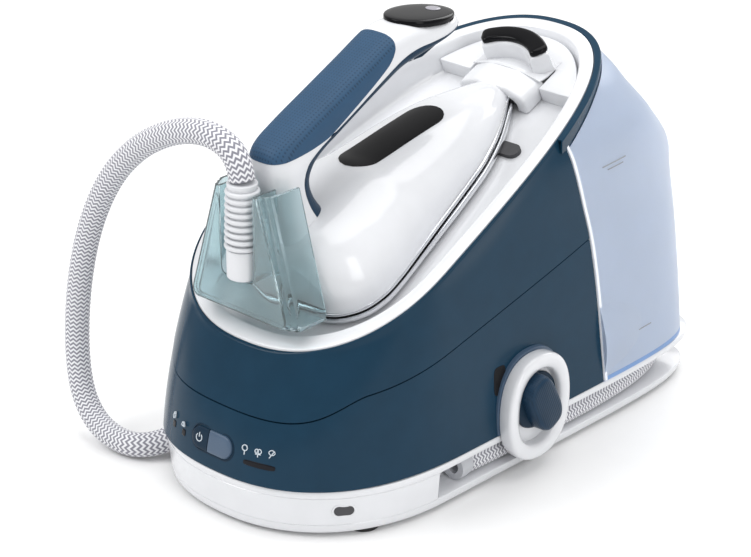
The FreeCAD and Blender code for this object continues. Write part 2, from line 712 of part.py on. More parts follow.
backing = side_oval(size("ring_half_width") + 1.5, size("ring_half_height") - 16, ring_back - 0.6,
                    ring_back)
backing = backing.fuse(Part.makeCylinder(size("filter_radius") + 4.6, ring_back - 98,
                                         Vector(98, size("knob_along"), size("knob_level") + 4),
                                         Vector(1, 0, 0)))
backing = backing.cut(Part.makeCylinder(size("filter_radius") + 3.0, 40,
                                        Vector(90, size("knob_along"), size("knob_level") + 4),
                                        Vector(1, 0, 0)))
backing = backing.cut(block((90, -80, 0), (120, 80, size("tray_top") + 0.3)))
sub_part("knob_backing", shaped("KnobBacking", backing.removeSplitter()))

housing = turned("FilterHousing", [("Sizes.filter_radius + Sizes.filter_gap", "2.5"),
                                   ("Sizes.filter_radius + Sizes.filter_gap", "Sizes.filter_length + 8"),
                                   ("Sizes.filter_radius + 2.6", "Sizes.filter_length + 8"),
                                   ("Sizes.filter_radius + 2.6", "0"), ("0.0", "0"), ("0.0", "2.5")])
FILTER_START = 40.0
sub_part("filter_housing", housing, KNOB_PLACE.multiply(at(0, 0, FILTER_START)))

cartridge = turned("FilterCartridge", [("0.0", "4"), ("Sizes.filter_radius - 3", "4"),
                                       ("Sizes.filter_radius", "8"),
                                       ("Sizes.filter_radius", "28.8"),
                                       ("Sizes.filter_radius - 2.2", "28.8"),
                                       ("Sizes.filter_radius - 2.2", "31.2"),
                                       ("Sizes.filter_radius", "31.2"),
                                       ("Sizes.filter_radius", "Sizes.filter_length"),
                                       ("6", "Sizes.filter_length"),
                                       ("6", "Sizes.filter_length + 12"),
                                       ("0.0", "Sizes.filter_length + 12")])
sub_part("filter_cartridge", cartridge, KNOB_PLACE.multiply(at(0, 0, FILTER_START)))
ring_seal = primitive("Torus", "FilterSeal", NOWHERE, Radius1="Sizes.filter_radius - 1.1",
                      Radius2="1.0")
sub_part("filter_seal", ring_seal, KNOB_PLACE.multiply(at(0, 0, FILTER_START + 30)))


def calc_knob():
    radius = size("knob_radius")
    low = FILTER_START + size("filter_length") + 1.0
    front = size("knob_front")
    stem = Part.makeCylinder(12.0, ring_back + 3 - low, Vector(0, 0, low))
    disc = Part.makeCylinder(radius - 1.5, 3.0, Vector(0, 0, ring_back + 3))
    grip = Part.makeCylinder(radius, front - ring_back - 5, Vector(0, 0, ring_back + 5))
    grip = grip.common(block((-30, -10.5, 0), (30, 10.5, 200)))
    knob = stem.fuse(disc).fuse(grip)
    bore = Part.makeCylinder(6.05, 14, Vector(0, 0, low - 1))
    return knob.cut(bore).removeSplitter()


sub_part("calc_knob", shaped("CalcKnob", calc_knob()), KNOB_PLACE)

# ---------------------------------------------------------------- control panel

bezel = pill(pill_long + 1.5, pill_tall + 1.5, 6.2, -6.4)
bezel = bezel.cut(pill(pill_long, pill_tall, 20, -4.4))
bezel = bezel.cut(pill(pill_long - 4, pill_tall - 3, 9, -9))
sub_part("button_bezel", shaped("ButtonBezel", bezel.removeSplitter()), panel(0, 0, 0))

whole_pill = pill(pill_long - button_gap, pill_tall - button_gap, 4.4, -2.4 - 0.2)
power_side = whole_pill.common(block((-40, -20, -20), (-3.0, 20, 20)))
mode_side = whole_pill.common(block((-2.4, -20, -20), (40, 20, 20)))
sub_part("power_button", shaped("PowerButton", power_side), panel(0, 0, 0))
sub_part("mode_button", shaped("ModeButton", mode_side), panel(0, 0, 0))

leds = []
for x, up in LED_PLACES:
    light = pill(3.0, 1.8, 6.0, -12.5)
    light.Placement = panel(x, up, 0)
    leds.append(light)
sub_part("led_windows", shaped("LedWindows", Part.makeCompound(leds)))
strip = primitive("Box", "IndicatorStrip", NOWHERE, Length="31.2", Width="6.6", Height="6")
strip_turn = Placement(Vector(), Rotation(Vector(0, 1, 0), STRIP_TURN))
sub_part("indicator_strip", strip,
         panel(STRIP_PLACE[0], STRIP_PLACE[1], 0).multiply(strip_turn).multiply(at(-15.6, -3.3, -9)))
board = primitive("Box", "ControlBoard", NOWHERE, Length="62", Width="26", Height="1.6")
sub_part("control_board", board, panel(-31, -13, -22))

# ---------------------------------------------------------------- inside the station

inside_level = CHASSIS_LEVEL + size("wall")
boiler = turned("Boiler", [("0.0", "0"), ("Sizes.boiler_radius - 8", "0"),
                           ("Sizes.boiler_radius", "8"), ("Sizes.boiler_radius", "Sizes.boiler_height - 12"),
                           ("Sizes.boiler_radius - 12", "Sizes.boiler_height"),
                           ("0.0", "Sizes.boiler_height")])
BOILER_AT = (-12, -72)
boiler_level = inside_level + 6
sub_part("boiler", boiler, at(BOILER_AT[0], BOILER_AT[1], boiler_level))
bracket = turned("BoilerBracket", [("Sizes.boiler_radius - 20", "0"), ("Sizes.boiler_radius - 10", "0"),
                                   ("Sizes.boiler_radius - 10", "6"), ("Sizes.boiler_radius - 20", "6")])
sub_part("boiler_bracket", bracket, at(BOILER_AT[0], BOILER_AT[1], inside_level))
top_of_boiler = boiler_level + size("boiler_height")
thermostat = primitive("Cylinder", "BoilerThermostat", NOWHERE, Radius="9", Height="9")
sub_part("boiler_thermostat", thermostat, at(BOILER_AT[0] - 22, BOILER_AT[1], top_of_boiler))
valve_body = turned("SafetyValve", [("0.0", "0"), ("7", "0"), ("7", "8"), ("4.5", "8"), ("4.5", "18"),
                                    ("0.0", "18")])
sub_part("safety_valve", valve_body, at(BOILER_AT[0] + 22, BOILER_AT[1] + 14, top_of_boiler))
steam_body = primitive("Box", "SteamValveCoil", at(-14, -14, 10), Length="28", Width="28", Height="24")
steam_stem = primitive("Cylinder", "SteamValveStem", at(0, 0, 0), Radius="7", Height="10")
sub_part("steam_valve", fuse("SteamValve", steam_body, steam_stem),
         at(BOILER_AT[0] + 4, BOILER_AT[1] - 22, top_of_boiler))
pump = turned("Pump", [("0.0", "0"), ("5", "0"), ("5", "10"), ("Sizes.pump_radius", "10"),
                       ("Sizes.pump_radius", "52"), ("5", "52"), ("5", "64"), ("0.0", "64")])
PUMP_LEVEL = inside_level + 24
sub_part("pump", pump, at(-35, 32, PUMP_LEVEL, ALONG_X))
mounts = []
for i, x in enumerate((-22, 12)):
    pad = primitive("Box", "PumpMount%d" % i, at(x - 3, 20, inside_level), Length="6", Width="24",
                    Height="24 - Sizes.pump_radius + 4")
    mounts.append(cut("PumpCradle%d" % i, pad, primitive(
        "Cylinder", "PumpSeat%d" % i, at(x - 10, 32, PUMP_LEVEL, ALONG_X),
        Radius="Sizes.pump_radius", Height="20")))
sub_part("pump_mounts", fuse("PumpMounts", *mounts))
pipe_low = primitive("Cylinder", "WaterPipe", NOWHERE, Radius="3", Height="60")
sub_part("water_pipe", pipe_low, at(0, 54.0, size("tray_under") + 12.0, ALONG_Y))
pipe_high = primitive("Cylinder", "SteamPipe", NOWHERE, Radius="4", Height="56")
steam_pipe_at = at(BOILER_AT[0] + 18, BOILER_AT[1] - 22, top_of_boiler + 22, ALONG_X)
sub_part("steam_pipe", pipe_high, steam_pipe_at)

# ---------------------------------------------------------------- iron: sole and shell

# half the sole plate: how far out, how far along from the heel
SOLE_HALF = [(38, 7), (59, 24), (63.4, 48), (56.4, 110), (46.8, 172), (25, 225)]
SOLE_HEEL, SOLE_TIP = 4.5, 254.0


def sole_outline(inset, level):
    right = []
    for out, along in SOLE_HALF:
        right.append(Vector(out - inset, along + inset * (60 - along) / 60.0 if along < 60
                            else along - inset * (along - 60) / 100.0, level))
    left = [Vector(-point.x, point.y, level) for point in reversed(right)]
    heel = Vector(0, SOLE_HEEL + inset, level)
    tip = Vector(0, SOLE_TIP - 2.4 * inset, level)
    return smooth_loop([heel] + right + [tip] + left)


def sole_prism(inset, low, high):
    return prism(sole_outline(inset, low), high - low)


sole_thick = size("sole_thick")
plate_low = Part.makeLoft([sole_outline(1.6, 0), sole_outline(0, 1.8)], True, True)
soleplate = plate_low.fuse(sole_prism(0, 1.8, sole_thick))
sub_part("soleplate", shaped("Soleplate", soleplate.removeSplitter()), IRON_PLACE)

shield_top = sole_prism(10, 7.6, 14).common(block((-80, 0, 0), (80, 198, 30)))
heater_room = sole_prism(13, sole_thick - 1, 12).common(block((-80, 0, 0), (80, 194, 30)))
heater = sole_prism(14, sole_thick, 11.5).common(block((-80, 0, 0), (80, 192, 30)))
shield = sole_prism(2.0, sole_thick, 7.6).fuse(shield_top).cut(heater_room)
sub_part("heat_shield", shaped("HeatShield", shield.removeSplitter()), IRON_PLACE)
sub_part("heater_block", shaped("HeaterBlock", heater), IRON_PLACE)

# stations along the shell: distance from the heel, half width, crown height
SHELL_STATIONS = [(10, 42, 52), (48, 62.6, 58), (93, 58.8, 57.5), (147, 51.0, 44.6),
                  (189, 41.8, 34), (222, 26.5, 22), (250, 6.0, 11.5)]


def shell_loft(inset, low):
    wires = []
    for along, half, crown in SHELL_STATIONS:
        half, crown = half - inset, crown - inset
        ring = []
        for step in range(9):
            turn = math.pi * step / 8
            c, s = math.cos(turn), math.sin(turn)
            ring.append(Vector(half * math.copysign(abs(c) ** 0.9, c), along,
                               low + (crown - low) * s ** 1.15))
        curve = Part.BSplineCurve()
        curve.interpolate(ring)
        wires.append(Part.Wire([curve.toShape(), Part.makeLine(ring[-1], ring[0])]))
    return Part.makeLoft(wires, True, False)


shell_low = size("skirt_level")
shell_outer = shell_loft(0, shell_low)
shell_inner = shell_loft(size("shell_wall"), shell_low - 0.5)
shell_inner = shell_inner.common(block((-80, 12.4, 0), (80, 247, 80)))
window_cut = Part.makeCylinder(15, 80, Vector(0, 108, 20)).fuse(
    Part.makeCylinder(15, 80, Vector(0, 169, 20))).fuse(block((-15, 108, 20), (15, 169, 100)))
window = shell_outer.common(window_cut.removeSplitter()).cut(shell_loft(2.0, shell_low))
iron_shell = shell_outer.cut(shell_inner)


# ---------------------------------------------------------------- iron: handle

def side_profile(points, half_width):
    """A prism across the iron from corner points (along, rise) in its side view."""
    corners = [Vector(-half_width, along, rise) for along, rise in points]
    face = Part.Face(Part.makePolygon(corners + corners[:1]))
    return face.extrude(Vector(2 * half_width, 0, 0))


HANDLE_UNDER = [(199, 89.5), (170, 95), (149, 97), (89, 93.5), (65, 91), (54, 83), (51, 66), (58, 50)]
HANDLE_TOP = [(16, 46), (24, 98), (30, 112), (40, 119), (162, 124), (172, 121), (221, 95), (215, 87)]
grip_line = [(36, 121), (44, 108), (62, 101), (132, 108), (150, 112), (158, 125), (158, 140),
             (36, 140)]
half_handle = size("handle_half_width")
handle_solid = side_profile(HANDLE_TOP + HANDLE_UNDER, half_handle)
cap_seat = Placement(Vector(0, 196.6, 109.8), Rotation(Vector(1, 0, 0), -size("cap_tilt")))
head_half = size("handle_head_half_width")


def cap_oval(half_width, half_length, low, high):
    oval_face = oval(half_width, -half_length, half_length, 0, 2, 2, low)
    bar = Part.Face(oval_face).extrude(Vector(0, 0, high - low))
    bar.Placement = cap_seat
    return bar


head = cap_oval(head_half, size("cap_half_length") - 1.0, -24, -size("cap_thick"))
head_room = side_profile([(150, 97), (165, 95), (199, 89.5), (215, 87), (232, 84), (232, 140),
                          (150, 140)], 40)
handle_solid = handle_solid.cut(cap_oval(40, 60, -size("cap_thick"), 30).common(
    side_profile([(172, 60), (240, 60), (240, 160), (172, 160)], 60)))
handle_solid = handle_solid.fuse(head.common(head_room))
grip_zone = side_profile(grip_line, 40)
grip_core = side_profile([(30, 60), (165, 60), (165, 120.5), (40, 115.5), (30, 108)],
                         half_handle - 3.2)
grip_pad = handle_solid.common(grip_zone).cut(grip_core)
liner_zone = side_profile([(223, 82), (199, 95), (170, 101), (149, 103.5), (89, 100), (62, 97.5),
                           (47.5, 85), (45, 66), (50, 46), (60, 46), (60, 80), (90, 80),
                           (199, 80)], 40)
trigger_slot = block((-8.6, 163, 80), (8.6, 203, 101.5))
liner = handle_solid.common(liner_zone).cut(trigger_slot)
handle_shell = handle_solid.cut(grip_zone.cut(grip_core)).cut(liner_zone).cut(trigger_slot)
handle_shell = handle_shell.cut(shell_outer)
handle_shell = handle_shell.cut(cap_oval(size("cap_half_width"), size("cap_half_length"),
                                         -size("cap_thick"), 0))
liner = liner.cut(shell_outer)
pin_radius = size("trigger_pin_radius")
PIN_AT = (167.0, 96.5)
pin_bore = Part.makeCylinder(pin_radius, 2 * half_handle - 8, Vector(4 - half_handle, *PIN_AT),
                             Vector(1, 0, 0))
handle_shell = handle_shell.cut(pin_bore)
liner = liner.cut(pin_bore)
handle_shell = handle_shell.cut(block((-5.3, 171.7, 101), (5.3, 180.3, 111.3)))
sub_part("iron_shell", shaped("IronShell", iron_shell.cut(window_cut)), IRON_PLACE)
sub_part("body_window", shaped("BodyWindow", window), IRON_PLACE)
sub_part("handle_shell", shaped("HandleShell", handle_shell.removeSplitter()), IRON_PLACE)
sub_part("grip_pad", shaped("GripPad", grip_pad), IRON_PLACE)
sub_part("handle_liner", shaped("HandleLiner", liner), IRON_PLACE)
cap = cap_oval(size("cap_half_width"), size("cap_half_length"), -size("cap_thick"), 0)
lens_seat = cap_seat.multiply(at(0, 14, -1))
lens_hole = Part.makeCylinder(5.0, 1.5)
lens_hole.Placement = lens_seat
sub_part("handle_cap", shaped("HandleCap", cap.cut(lens_hole)), IRON_PLACE)
lens = primitive("Cylinder", "CapLens", NOWHERE, Radius="5", Height="1.5")
sub_part("cap_lens", lens, IRON_PLACE.multiply(lens_seat))

pin_gap = size("trigger_pin_gap")
trigger = side_profile([(164.2, 93.6), (164.2, 99.0), (170, 99.0), (199, 92.5), (200, 89), (196, 85),
                        (180, 86), (168, 91)], 8.0)
trigger = trigger.cut(Part.makeCylinder(pin_radius + pin_gap, 40, Vector(-20, *PIN_AT), Vector(1, 0, 0)))
sub_part("steam_trigger", shaped("SteamTrigger", trigger), IRON_PLACE)
pin = primitive("Cylinder", "TriggerPin", NOWHERE, Radius="Sizes.trigger_pin_radius",
                Height="2 * Sizes.handle_half_width - 8")
sub_part("trigger_pin", pin, IRON_PLACE.multiply(at(4 - half_handle, PIN_AT[0], PIN_AT[1], ALONG_X)))
SPRING_AT = (186.0, 96.7)
spring = Part.makeCylinder(3.0, 101.3 - SPRING_AT[1], Vector(0, *SPRING_AT)).cut(
    Part.makeCylinder(2.0, 20, Vector(0, SPRING_AT[0], SPRING_AT[1] - 5)))
sub_part("trigger_spring", shaped("TriggerSpring", spring), IRON_PLACE)
switch = primitive("Box", "TriggerSwitch", NOWHERE, Length="10", Width="8", Height="7")
sub_part("trigger_switch", switch, IRON_PLACE.multiply(at(-5, 172, 104)))

# ---------------------------------------------------------------- iron: inside and heel

steam_tube = primitive("Cylinder", "SteamConnector", NOWHERE, Radius="5", Height="30")
sub_part("steam_connector", steam_tube, IRON_PLACE.multiply(at(0, 16, 34, ALONG_Y)))
cut_out = primitive("Cylinder", "IronThermostat", NOWHERE, Radius="9", Height="10")
sub_part("iron_thermostat", cut_out, IRON_PLACE.multiply(at(0, 120, 14)))


def heel_stand():
    """A hollow flared stand behind the iron, open where it meets the back of the iron."""
    def frame(half_low, half_high, low, high, along):
        corners = [Vector(-half_low, along, low), Vector(half_low, along, low),
                   Vector(half_high, along, high), Vector(-half_high, along, high)]
        return Part.makePolygon(corners + corners[:1])
    outer_frame = Part.makeLoft([frame(51, 27, 137.5, 227, -181.5), frame(44, 22, 144, 224, -140)],
                                True, True)
    inner_frame = Part.makeLoft([frame(47, 24, 140.5, 224.5, -178.5), frame(41, 19.5, 147, 221.5, -139)],
                                True, True)
    stand = outer_frame.cut(inner_frame)
    channel = block((-15, -190, size("sleeve_bottom")), (15, -130, 300))
    lining = block((-17.5, -181.5, size("sleeve_bottom") - 2.5),
                   (17.5, -130, 224)).common(outer_frame)
    stand = stand.fuse(lining).cut(channel)
    keep = side_profile([(8.5, -40), (8.5, 8), (9, 50), (14, 60), (22, 104), (22, 160), (-90, 160),
                         (-90, -40)], 90)
    stand = stand.common(on_iron(keep))
    return stand.cut(on_iron(shell_outer)).removeSplitter()


sub_part("heel_stand", shaped("HeelStand", heel_stand()))

# ---------------------------------------------------------------- check and write

doc.recompute()
os.makedirs("parts", exist_ok=True)
faults = []
for item in doc.Objects:
    if "Invalid" in item.State or "Error" in item.State:
        faults.append("%s is %s" % (item.Label, item.State))
for item in nodes:
    if item.Shape.isNull() or not item.Shape.isValid():
        faults.append("%s has no valid shape" % item.Label)
    elif not item.Shape.Solids:
        faults.append("%s has no solid" % item.Label)
if faults:
    raise RuntimeError("; ".join(faults))
for item in nodes:
    item.Shape.exportStep("parts/%s.step" % item.Label)
    box = item.Shape.BoundBox
    print("%-18s %d solid  %8.0f mm3  x %6.1f..%6.1f  y %6.1f..%6.1f  z %6.1f..%6.1f" % (
        item.Label, len(item.Shape.Solids), item.Shape.Volume, box.XMin, box.XMax, box.YMin,
        box.YMax, box.ZMin, box.ZMax))
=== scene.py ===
import json
import math
import bmesh
import bpy
from mathutils import Matrix, Vector


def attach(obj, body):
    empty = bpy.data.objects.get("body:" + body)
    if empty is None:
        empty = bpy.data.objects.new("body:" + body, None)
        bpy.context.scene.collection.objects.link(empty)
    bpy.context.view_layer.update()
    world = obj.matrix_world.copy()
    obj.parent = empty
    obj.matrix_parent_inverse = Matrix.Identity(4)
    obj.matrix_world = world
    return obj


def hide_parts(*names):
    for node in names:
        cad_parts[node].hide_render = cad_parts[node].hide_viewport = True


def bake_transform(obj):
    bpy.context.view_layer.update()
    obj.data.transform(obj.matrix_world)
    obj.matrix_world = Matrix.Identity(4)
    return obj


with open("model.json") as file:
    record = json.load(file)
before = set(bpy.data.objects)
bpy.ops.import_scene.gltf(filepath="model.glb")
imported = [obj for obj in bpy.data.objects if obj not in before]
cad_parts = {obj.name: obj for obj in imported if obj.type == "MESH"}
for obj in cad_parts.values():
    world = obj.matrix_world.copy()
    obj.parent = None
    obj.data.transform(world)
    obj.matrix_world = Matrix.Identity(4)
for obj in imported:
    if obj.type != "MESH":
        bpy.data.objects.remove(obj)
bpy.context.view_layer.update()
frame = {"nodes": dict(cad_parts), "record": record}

# Steam generator iron. Working numbers are millimetres; meshes are written in metres.
MM = 0.001

# ---------------------------------------------------------------- camera and studio

target = Vector((0, -48.95, 123.79)) * MM
azimuth, elevation, distance = math.radians(43.303), math.radians(23.875), 1.70207
offset = Vector((math.cos(elevation) * math.sin(azimuth), -math.cos(elevation) * math.cos(azimuth),
                 math.sin(elevation)))
camera_data = bpy.data.cameras.new("studio_camera")
camera_data.lens = 117.43
camera_data.sensor_width = 36
camera = bpy.data.objects.new("studio_camera", camera_data)
camera.location = target + offset * distance
camera.rotation_euler = (-offset).to_track_quat("-Z", "Y").to_euler()
bpy.context.scene.collection.objects.link(camera)
bpy.context.scene.camera = camera


def softbox(name, place, aim, size, power):
    """A square soft light that looks at a point."""
    light = bpy.data.lights.new(name, "AREA")
    light.shape = "RECTANGLE"
    light.size, light.size_y = size
    light.energy = power
    lamp = bpy.data.objects.new(name, light)
    lamp.location = place
    lamp.rotation_euler = (Vector(aim) - Vector(place)).to_track_quat("-Z", "Y").to_euler()
    bpy.context.scene.collection.objects.link(lamp)


softbox("key_light", (-0.9, -1.3, 1.7), (0, 0, 0.12), (1.1, 1.1), 19)
softbox("side_light", (1.9, -0.5, 1.0), (0, 0, 0.12), (0.7, 1.4), 9)
softbox("top_light", (0.1, 0.3, 2.0), (0, 0, 0.1), (1.8, 1.8), 22)
softbox("back_light", (-0.3, 1.8, 1.2), (0, 0, 0.15), (1.6, 0.9), 11)
world = bpy.data.worlds.new("studio")
world.use_nodes = True
world.node_tree.nodes["Background"].inputs["Color"].default_value = (1, 1, 1, 1)
world.node_tree.nodes["Background"].inputs["Strength"].default_value = 0.66
bpy.context.scene.world = world
bpy.context.scene.view_settings.view_transform = "Standard"

# ---------------------------------------------------------------- finishes


def new_finish(name, colour, roughness, metallic=0.0, coat=0.0, clear=0.0, wear=0.06,
               wear_scale=60.0, grain=0.02, grain_scale=900.0, shine=0.5):
    """A moulded or metal finish: slightly uneven colour and gloss over a fine surface grain."""
    material = bpy.data.materials.new(name)
    material.use_nodes = True
    nodes, links = material.node_tree.nodes, material.node_tree.links
    shader = nodes["Principled BSDF"]
    shader.inputs["Metallic"].default_value = metallic
    shader.inputs["Coat Weight"].default_value = coat
    shader.inputs["Coat Roughness"].default_value = 0.06
    shader.inputs["Transmission Weight"].default_value = clear
    shader.inputs["IOR"].default_value = 1.49
    shader.inputs["Specular IOR Level"].default_value = shine
    place = nodes.new("ShaderNodeTexCoord")
    patch = nodes.new("ShaderNodeTexNoise")
    patch.inputs["Scale"].default_value = wear_scale
    patch.inputs["Detail"].default_value = 4
    links.new(place.outputs["Object"], patch.inputs["Vector"])
    shade = nodes.new("ShaderNodeValToRGB")
    low, high = shade.color_ramp.elements
    low.position, high.position = 0.3, 0.7
    low.color = (*[part * (1 - wear) for part in colour], 1)
    high.color = (*[min(1, part * (1 + wear)) for part in colour], 1)
    links.new(patch.outputs["Fac"], shade.inputs["Fac"])
    links.new(shade.outputs["Color"], shader.inputs["Base Color"])
    gloss = nodes.new("ShaderNodeMapRange")
    gloss.inputs["To Min"].default_value = max(0.02, roughness - 0.04)
    gloss.inputs["To Max"].default_value = roughness + 0.05
    links.new(patch.outputs["Fac"], gloss.inputs["Value"])
    links.new(gloss.outputs["Result"], shader.inputs["Roughness"])
    fine = nodes.new("ShaderNodeTexNoise")
    fine.inputs["Scale"].default_value = grain_scale
    links.new(place.outputs["Object"], fine.inputs["Vector"])
    bump = nodes.new("ShaderNodeBump")
    bump.inputs["Strength"].default_value = grain
    bump.inputs["Distance"].default_value = 0.0004
    links.new(fine.outputs["Fac"], bump.inputs["Height"])
    links.new(bump.outputs["Normal"], shader.inputs["Normal"])
    return material


def dimpled(material, spacing, depth):
    """Adds a regular field of small dimples to a finish, with painted shade that darkens the middle of each
    dimple.
    """
    nodes, links = material.node_tree.nodes, material.node_tree.links
    place = next(n for n in nodes if n.type == "TEX_COORD")
    cells = nodes.new("ShaderNodeTexVoronoi")
    cells.voronoi_dimensions = "2D"
    cells.inputs["Scale"].default_value = 1.0 / (spacing * MM)
    cells.inputs["Randomness"].default_value = 0.0
    turned = nodes.new("ShaderNodeMapping")
    turned.inputs["Rotation"].default_value = (math.radians(-24.3), 0.0, 0.0)
    links.new(place.outputs["Object"], turned.inputs["Vector"])
    links.new(turned.outputs["Vector"], cells.inputs["Vector"])
    dot = nodes.new("ShaderNodeMapRange")
    dot.inputs["From Min"].default_value = 0.14
    dot.inputs["From Max"].default_value = 0.3
    dot.inputs["To Min"].default_value = 0.62
    links.new(cells.outputs["Distance"], dot.inputs["Value"])
    # painted shade: the finish's colour is multiplied down to 0.62 in the middle of each dimple, where the
    # recess falls into shade
    painted_dimple_shade = nodes.new("ShaderNodeMix")
    painted_dimple_shade.data_type = "RGBA"
    painted_dimple_shade.blend_type = "MULTIPLY"
    painted_dimple_shade.inputs["Factor"].default_value = 1.0
    shader = nodes["Principled BSDF"]
    links.new(next(n for n in nodes if n.type == "VALTORGB").outputs["Color"], painted_dimple_shade.inputs["A"])
    links.new(dot.outputs["Result"], painted_dimple_shade.inputs["B"])
    links.new(painted_dimple_shade.outputs["Result"], shader.inputs["Base Color"])
    bump = nodes.new("ShaderNodeBump")
    bump.inputs["Strength"].default_value = depth
    bump.inputs["Distance"].default_value = 0.0006
    links.new(dot.outputs["Result"], bump.inputs["Height"])
    links.new(bump.outputs["Normal"], shader.inputs["Normal"])
    return material


def woven(name):
    """The hose's sleeve: columns of light chevrons on grey, on the piece's own UV map."""
    material = new_finish(name, (0.3, 0.3, 0.34), 0.8)
    nodes, links = material.node_tree.nodes, material.node_tree.links
    shader = nodes["Principled BSDF"]
    layout = nodes.new("ShaderNodeUVMap")
    layout.uv_map = "weave"
    split = nodes.new("ShaderNodeSeparateXYZ")
    links.new(layout.outputs["UV"], split.inputs["Vector"])

    def maths(kind, first, second=None):
        step = nodes.new("ShaderNodeMath")
        step.operation = kind
        for socket, value in zip(step.inputs, (first, second)):
            if isinstance(value, (int, float)):
                socket.default_value = value
            elif value is not None:
                links.new(value, socket)
        return step.outputs[0]

    zigzag = maths("PINGPONG", maths("MULTIPLY", split.outputs["X"], 24.0), 1.0)
    along = maths("ADD", maths("MULTIPLY", split.outputs["Y"], 300.0), maths("MULTIPLY", zigzag, 0.62))
    stripe = maths("PINGPONG", along, 0.5)
    ramp = nodes.new("ShaderNodeValToRGB")
    low, high = ramp.color_ramp.elements
    low.position, high.position = 0.38, 0.62
    low.color, high.color = (0.22, 0.22, 0.26, 1), (0.8, 0.8, 0.83, 1)
    links.new(maths("MULTIPLY", stripe, 2.0), ramp.inputs["Fac"])
    links.new(ramp.outputs["Color"], shader.inputs["Base Color"])
    bump = nodes.new("ShaderNodeBump")
    bump.inputs["Strength"].default_value = 0.66
    bump.inputs["Distance"].default_value = 0.0005
    links.new(stripe, bump.inputs["Height"])
    links.new(bump.outputs["Normal"], shader.inputs["Normal"])
    shader.inputs["Sheen Weight"].default_value = 0.3
    return material


FINISH = {
    "white_gloss": new_finish("white_gloss", (0.74, 0.75, 0.775), 0.16, coat=0.4, wear=0.015),
    "white_matte": new_finish("white_matte", (0.7, 0.71, 0.735), 0.38, wear=0.02, grain=0.06),
    "navy_gloss": new_finish("navy_gloss", (0.008, 0.036, 0.068), 0.2, shine=0.16, wear=0.05),
    "navy_matte": new_finish("navy_matte", (0.006, 0.022, 0.044), 0.42, shine=0.15, wear=0.06, grain=0.08),
    "navy_satin": dimpled(new_finish("navy_satin", (0.009, 0.034, 0.07), 0.36, shine=0.2, wear=0.05),
                          1.6, 0.35),
    "navy_soft": dimpled(new_finish("navy_soft", (0.028, 0.075, 0.145), 0.5, shine=0.25, wear=0.05),
                         2.4, 0.8),
    "grey_blue": new_finish("grey_blue", (0.06, 0.1, 0.16), 0.35, wear=0.05),
    "grey_plastic": new_finish("grey_plastic", (0.3, 0.31, 0.33), 0.5, grain=0.1),
    "black_plastic": new_finish("black_plastic", (0.006, 0.006, 0.007), 0.5, shine=0.2, grain=0.12),
    "black_gloss": new_finish("black_gloss", (0.003, 0.003, 0.004), 0.1, shine=0.14),
    "smoked": new_finish("smoked", (0.006, 0.006, 0.009), 0.12, shine=0.2),
    "lens_grey": new_finish("lens_grey", (0.32, 0.31, 0.35), 0.22, coat=0.3),
    "rubber_black": new_finish("rubber_black", (0.015, 0.015, 0.016), 0.75, grain=0.25),
    "rubber_grey": new_finish("rubber_grey", (0.06, 0.06, 0.065), 0.7, grain=0.25),
    "silicone": new_finish("silicone", (0.75, 0.72, 0.66), 0.4, clear=0.3),
    "hose_weave": woven("hose_weave"),
    "board_green": new_finish("board_green", (0.02, 0.14, 0.05), 0.45, wear=0.15, wear_scale=400),
    "polished_steel": new_finish("polished_steel", (0.74, 0.75, 0.77), 0.12, metallic=1.0, wear=0.03),
    "steel": new_finish("steel", (0.5, 0.51, 0.53), 0.3, metallic=1.0, wear=0.08, grain=0.05),
    "aluminium": new_finish("aluminium", (0.6, 0.61, 0.63), 0.45, metallic=1.0, wear=0.08, grain=0.2),
    "brass": new_finish("brass", (0.65, 0.48, 0.2), 0.3, metallic=1.0, wear=0.08),
    "tank_blue": new_finish("tank_blue", (0.66, 0.76, 0.93), 0.3, clear=0.5, wear=0.04, wear_scale=14),
    "teal_clear": new_finish("teal_clear", (0.62, 0.76, 0.79), 0.06, clear=0.93, wear=0.03),
}
FINISH["tank_edge"] = new_finish("tank_edge", (0.86, 0.89, 0.95), 0.25, wear=0.02)
FINISH["tank_foot"] = new_finish("tank_foot", (0.2, 0.36, 0.68), 0.3, clear=0.2, wear=0.05)
FINISH["groove_grey"] = new_finish("groove_grey", (0.5, 0.51, 0.54), 0.45, wear=0.04)
FINISH["print_light"] = new_finish("print_light", (0.6, 0.66, 0.72), 0.5, wear=0.03)

for sub_part in frame["record"]["subparts"]:
    node = frame["nodes"][sub_part["node"]]
    node.data.materials.clear()
    shade = "groove_grey" if sub_part["node"] == "hose_grommet" else sub_part["material_slot"]
    node.data.materials.append(FINISH[shade])

# ---------------------------------------------------------------- mesh helpers


def grid(rows, start_cap=False, end_cap=False, ring=True):
    """Points and faces of a net of rows, each row a closed ring unless told otherwise."""
    count = len(rows[0])
    points = [Vector(p) for row in rows for p in row]
    faces = []
    for r in range(len(rows) - 1):
        for c in range(count if ring else count - 1):
            d = (c + 1) % count
            faces.append((r * count + c, r * count + d, (r + 1) * count + d, (r + 1) * count + c))
    for wanted, first in ((start_cap, 0), (end_cap, (len(rows) - 1) * count)):
        if wanted:
            middle = sum((points[first + i] for i in range(count)), Vector()) / count
            points.append(middle)
            faces += [(first + i, first + (i + 1) % count, len(points) - 1) for i in range(count)]
    return points, faces


def add(points, faces, more, more_faces):
    """Adds a second mesh to the lists of a first."""
    faces += [tuple(i + len(points) for i in face) for face in more_faces]
    points += more


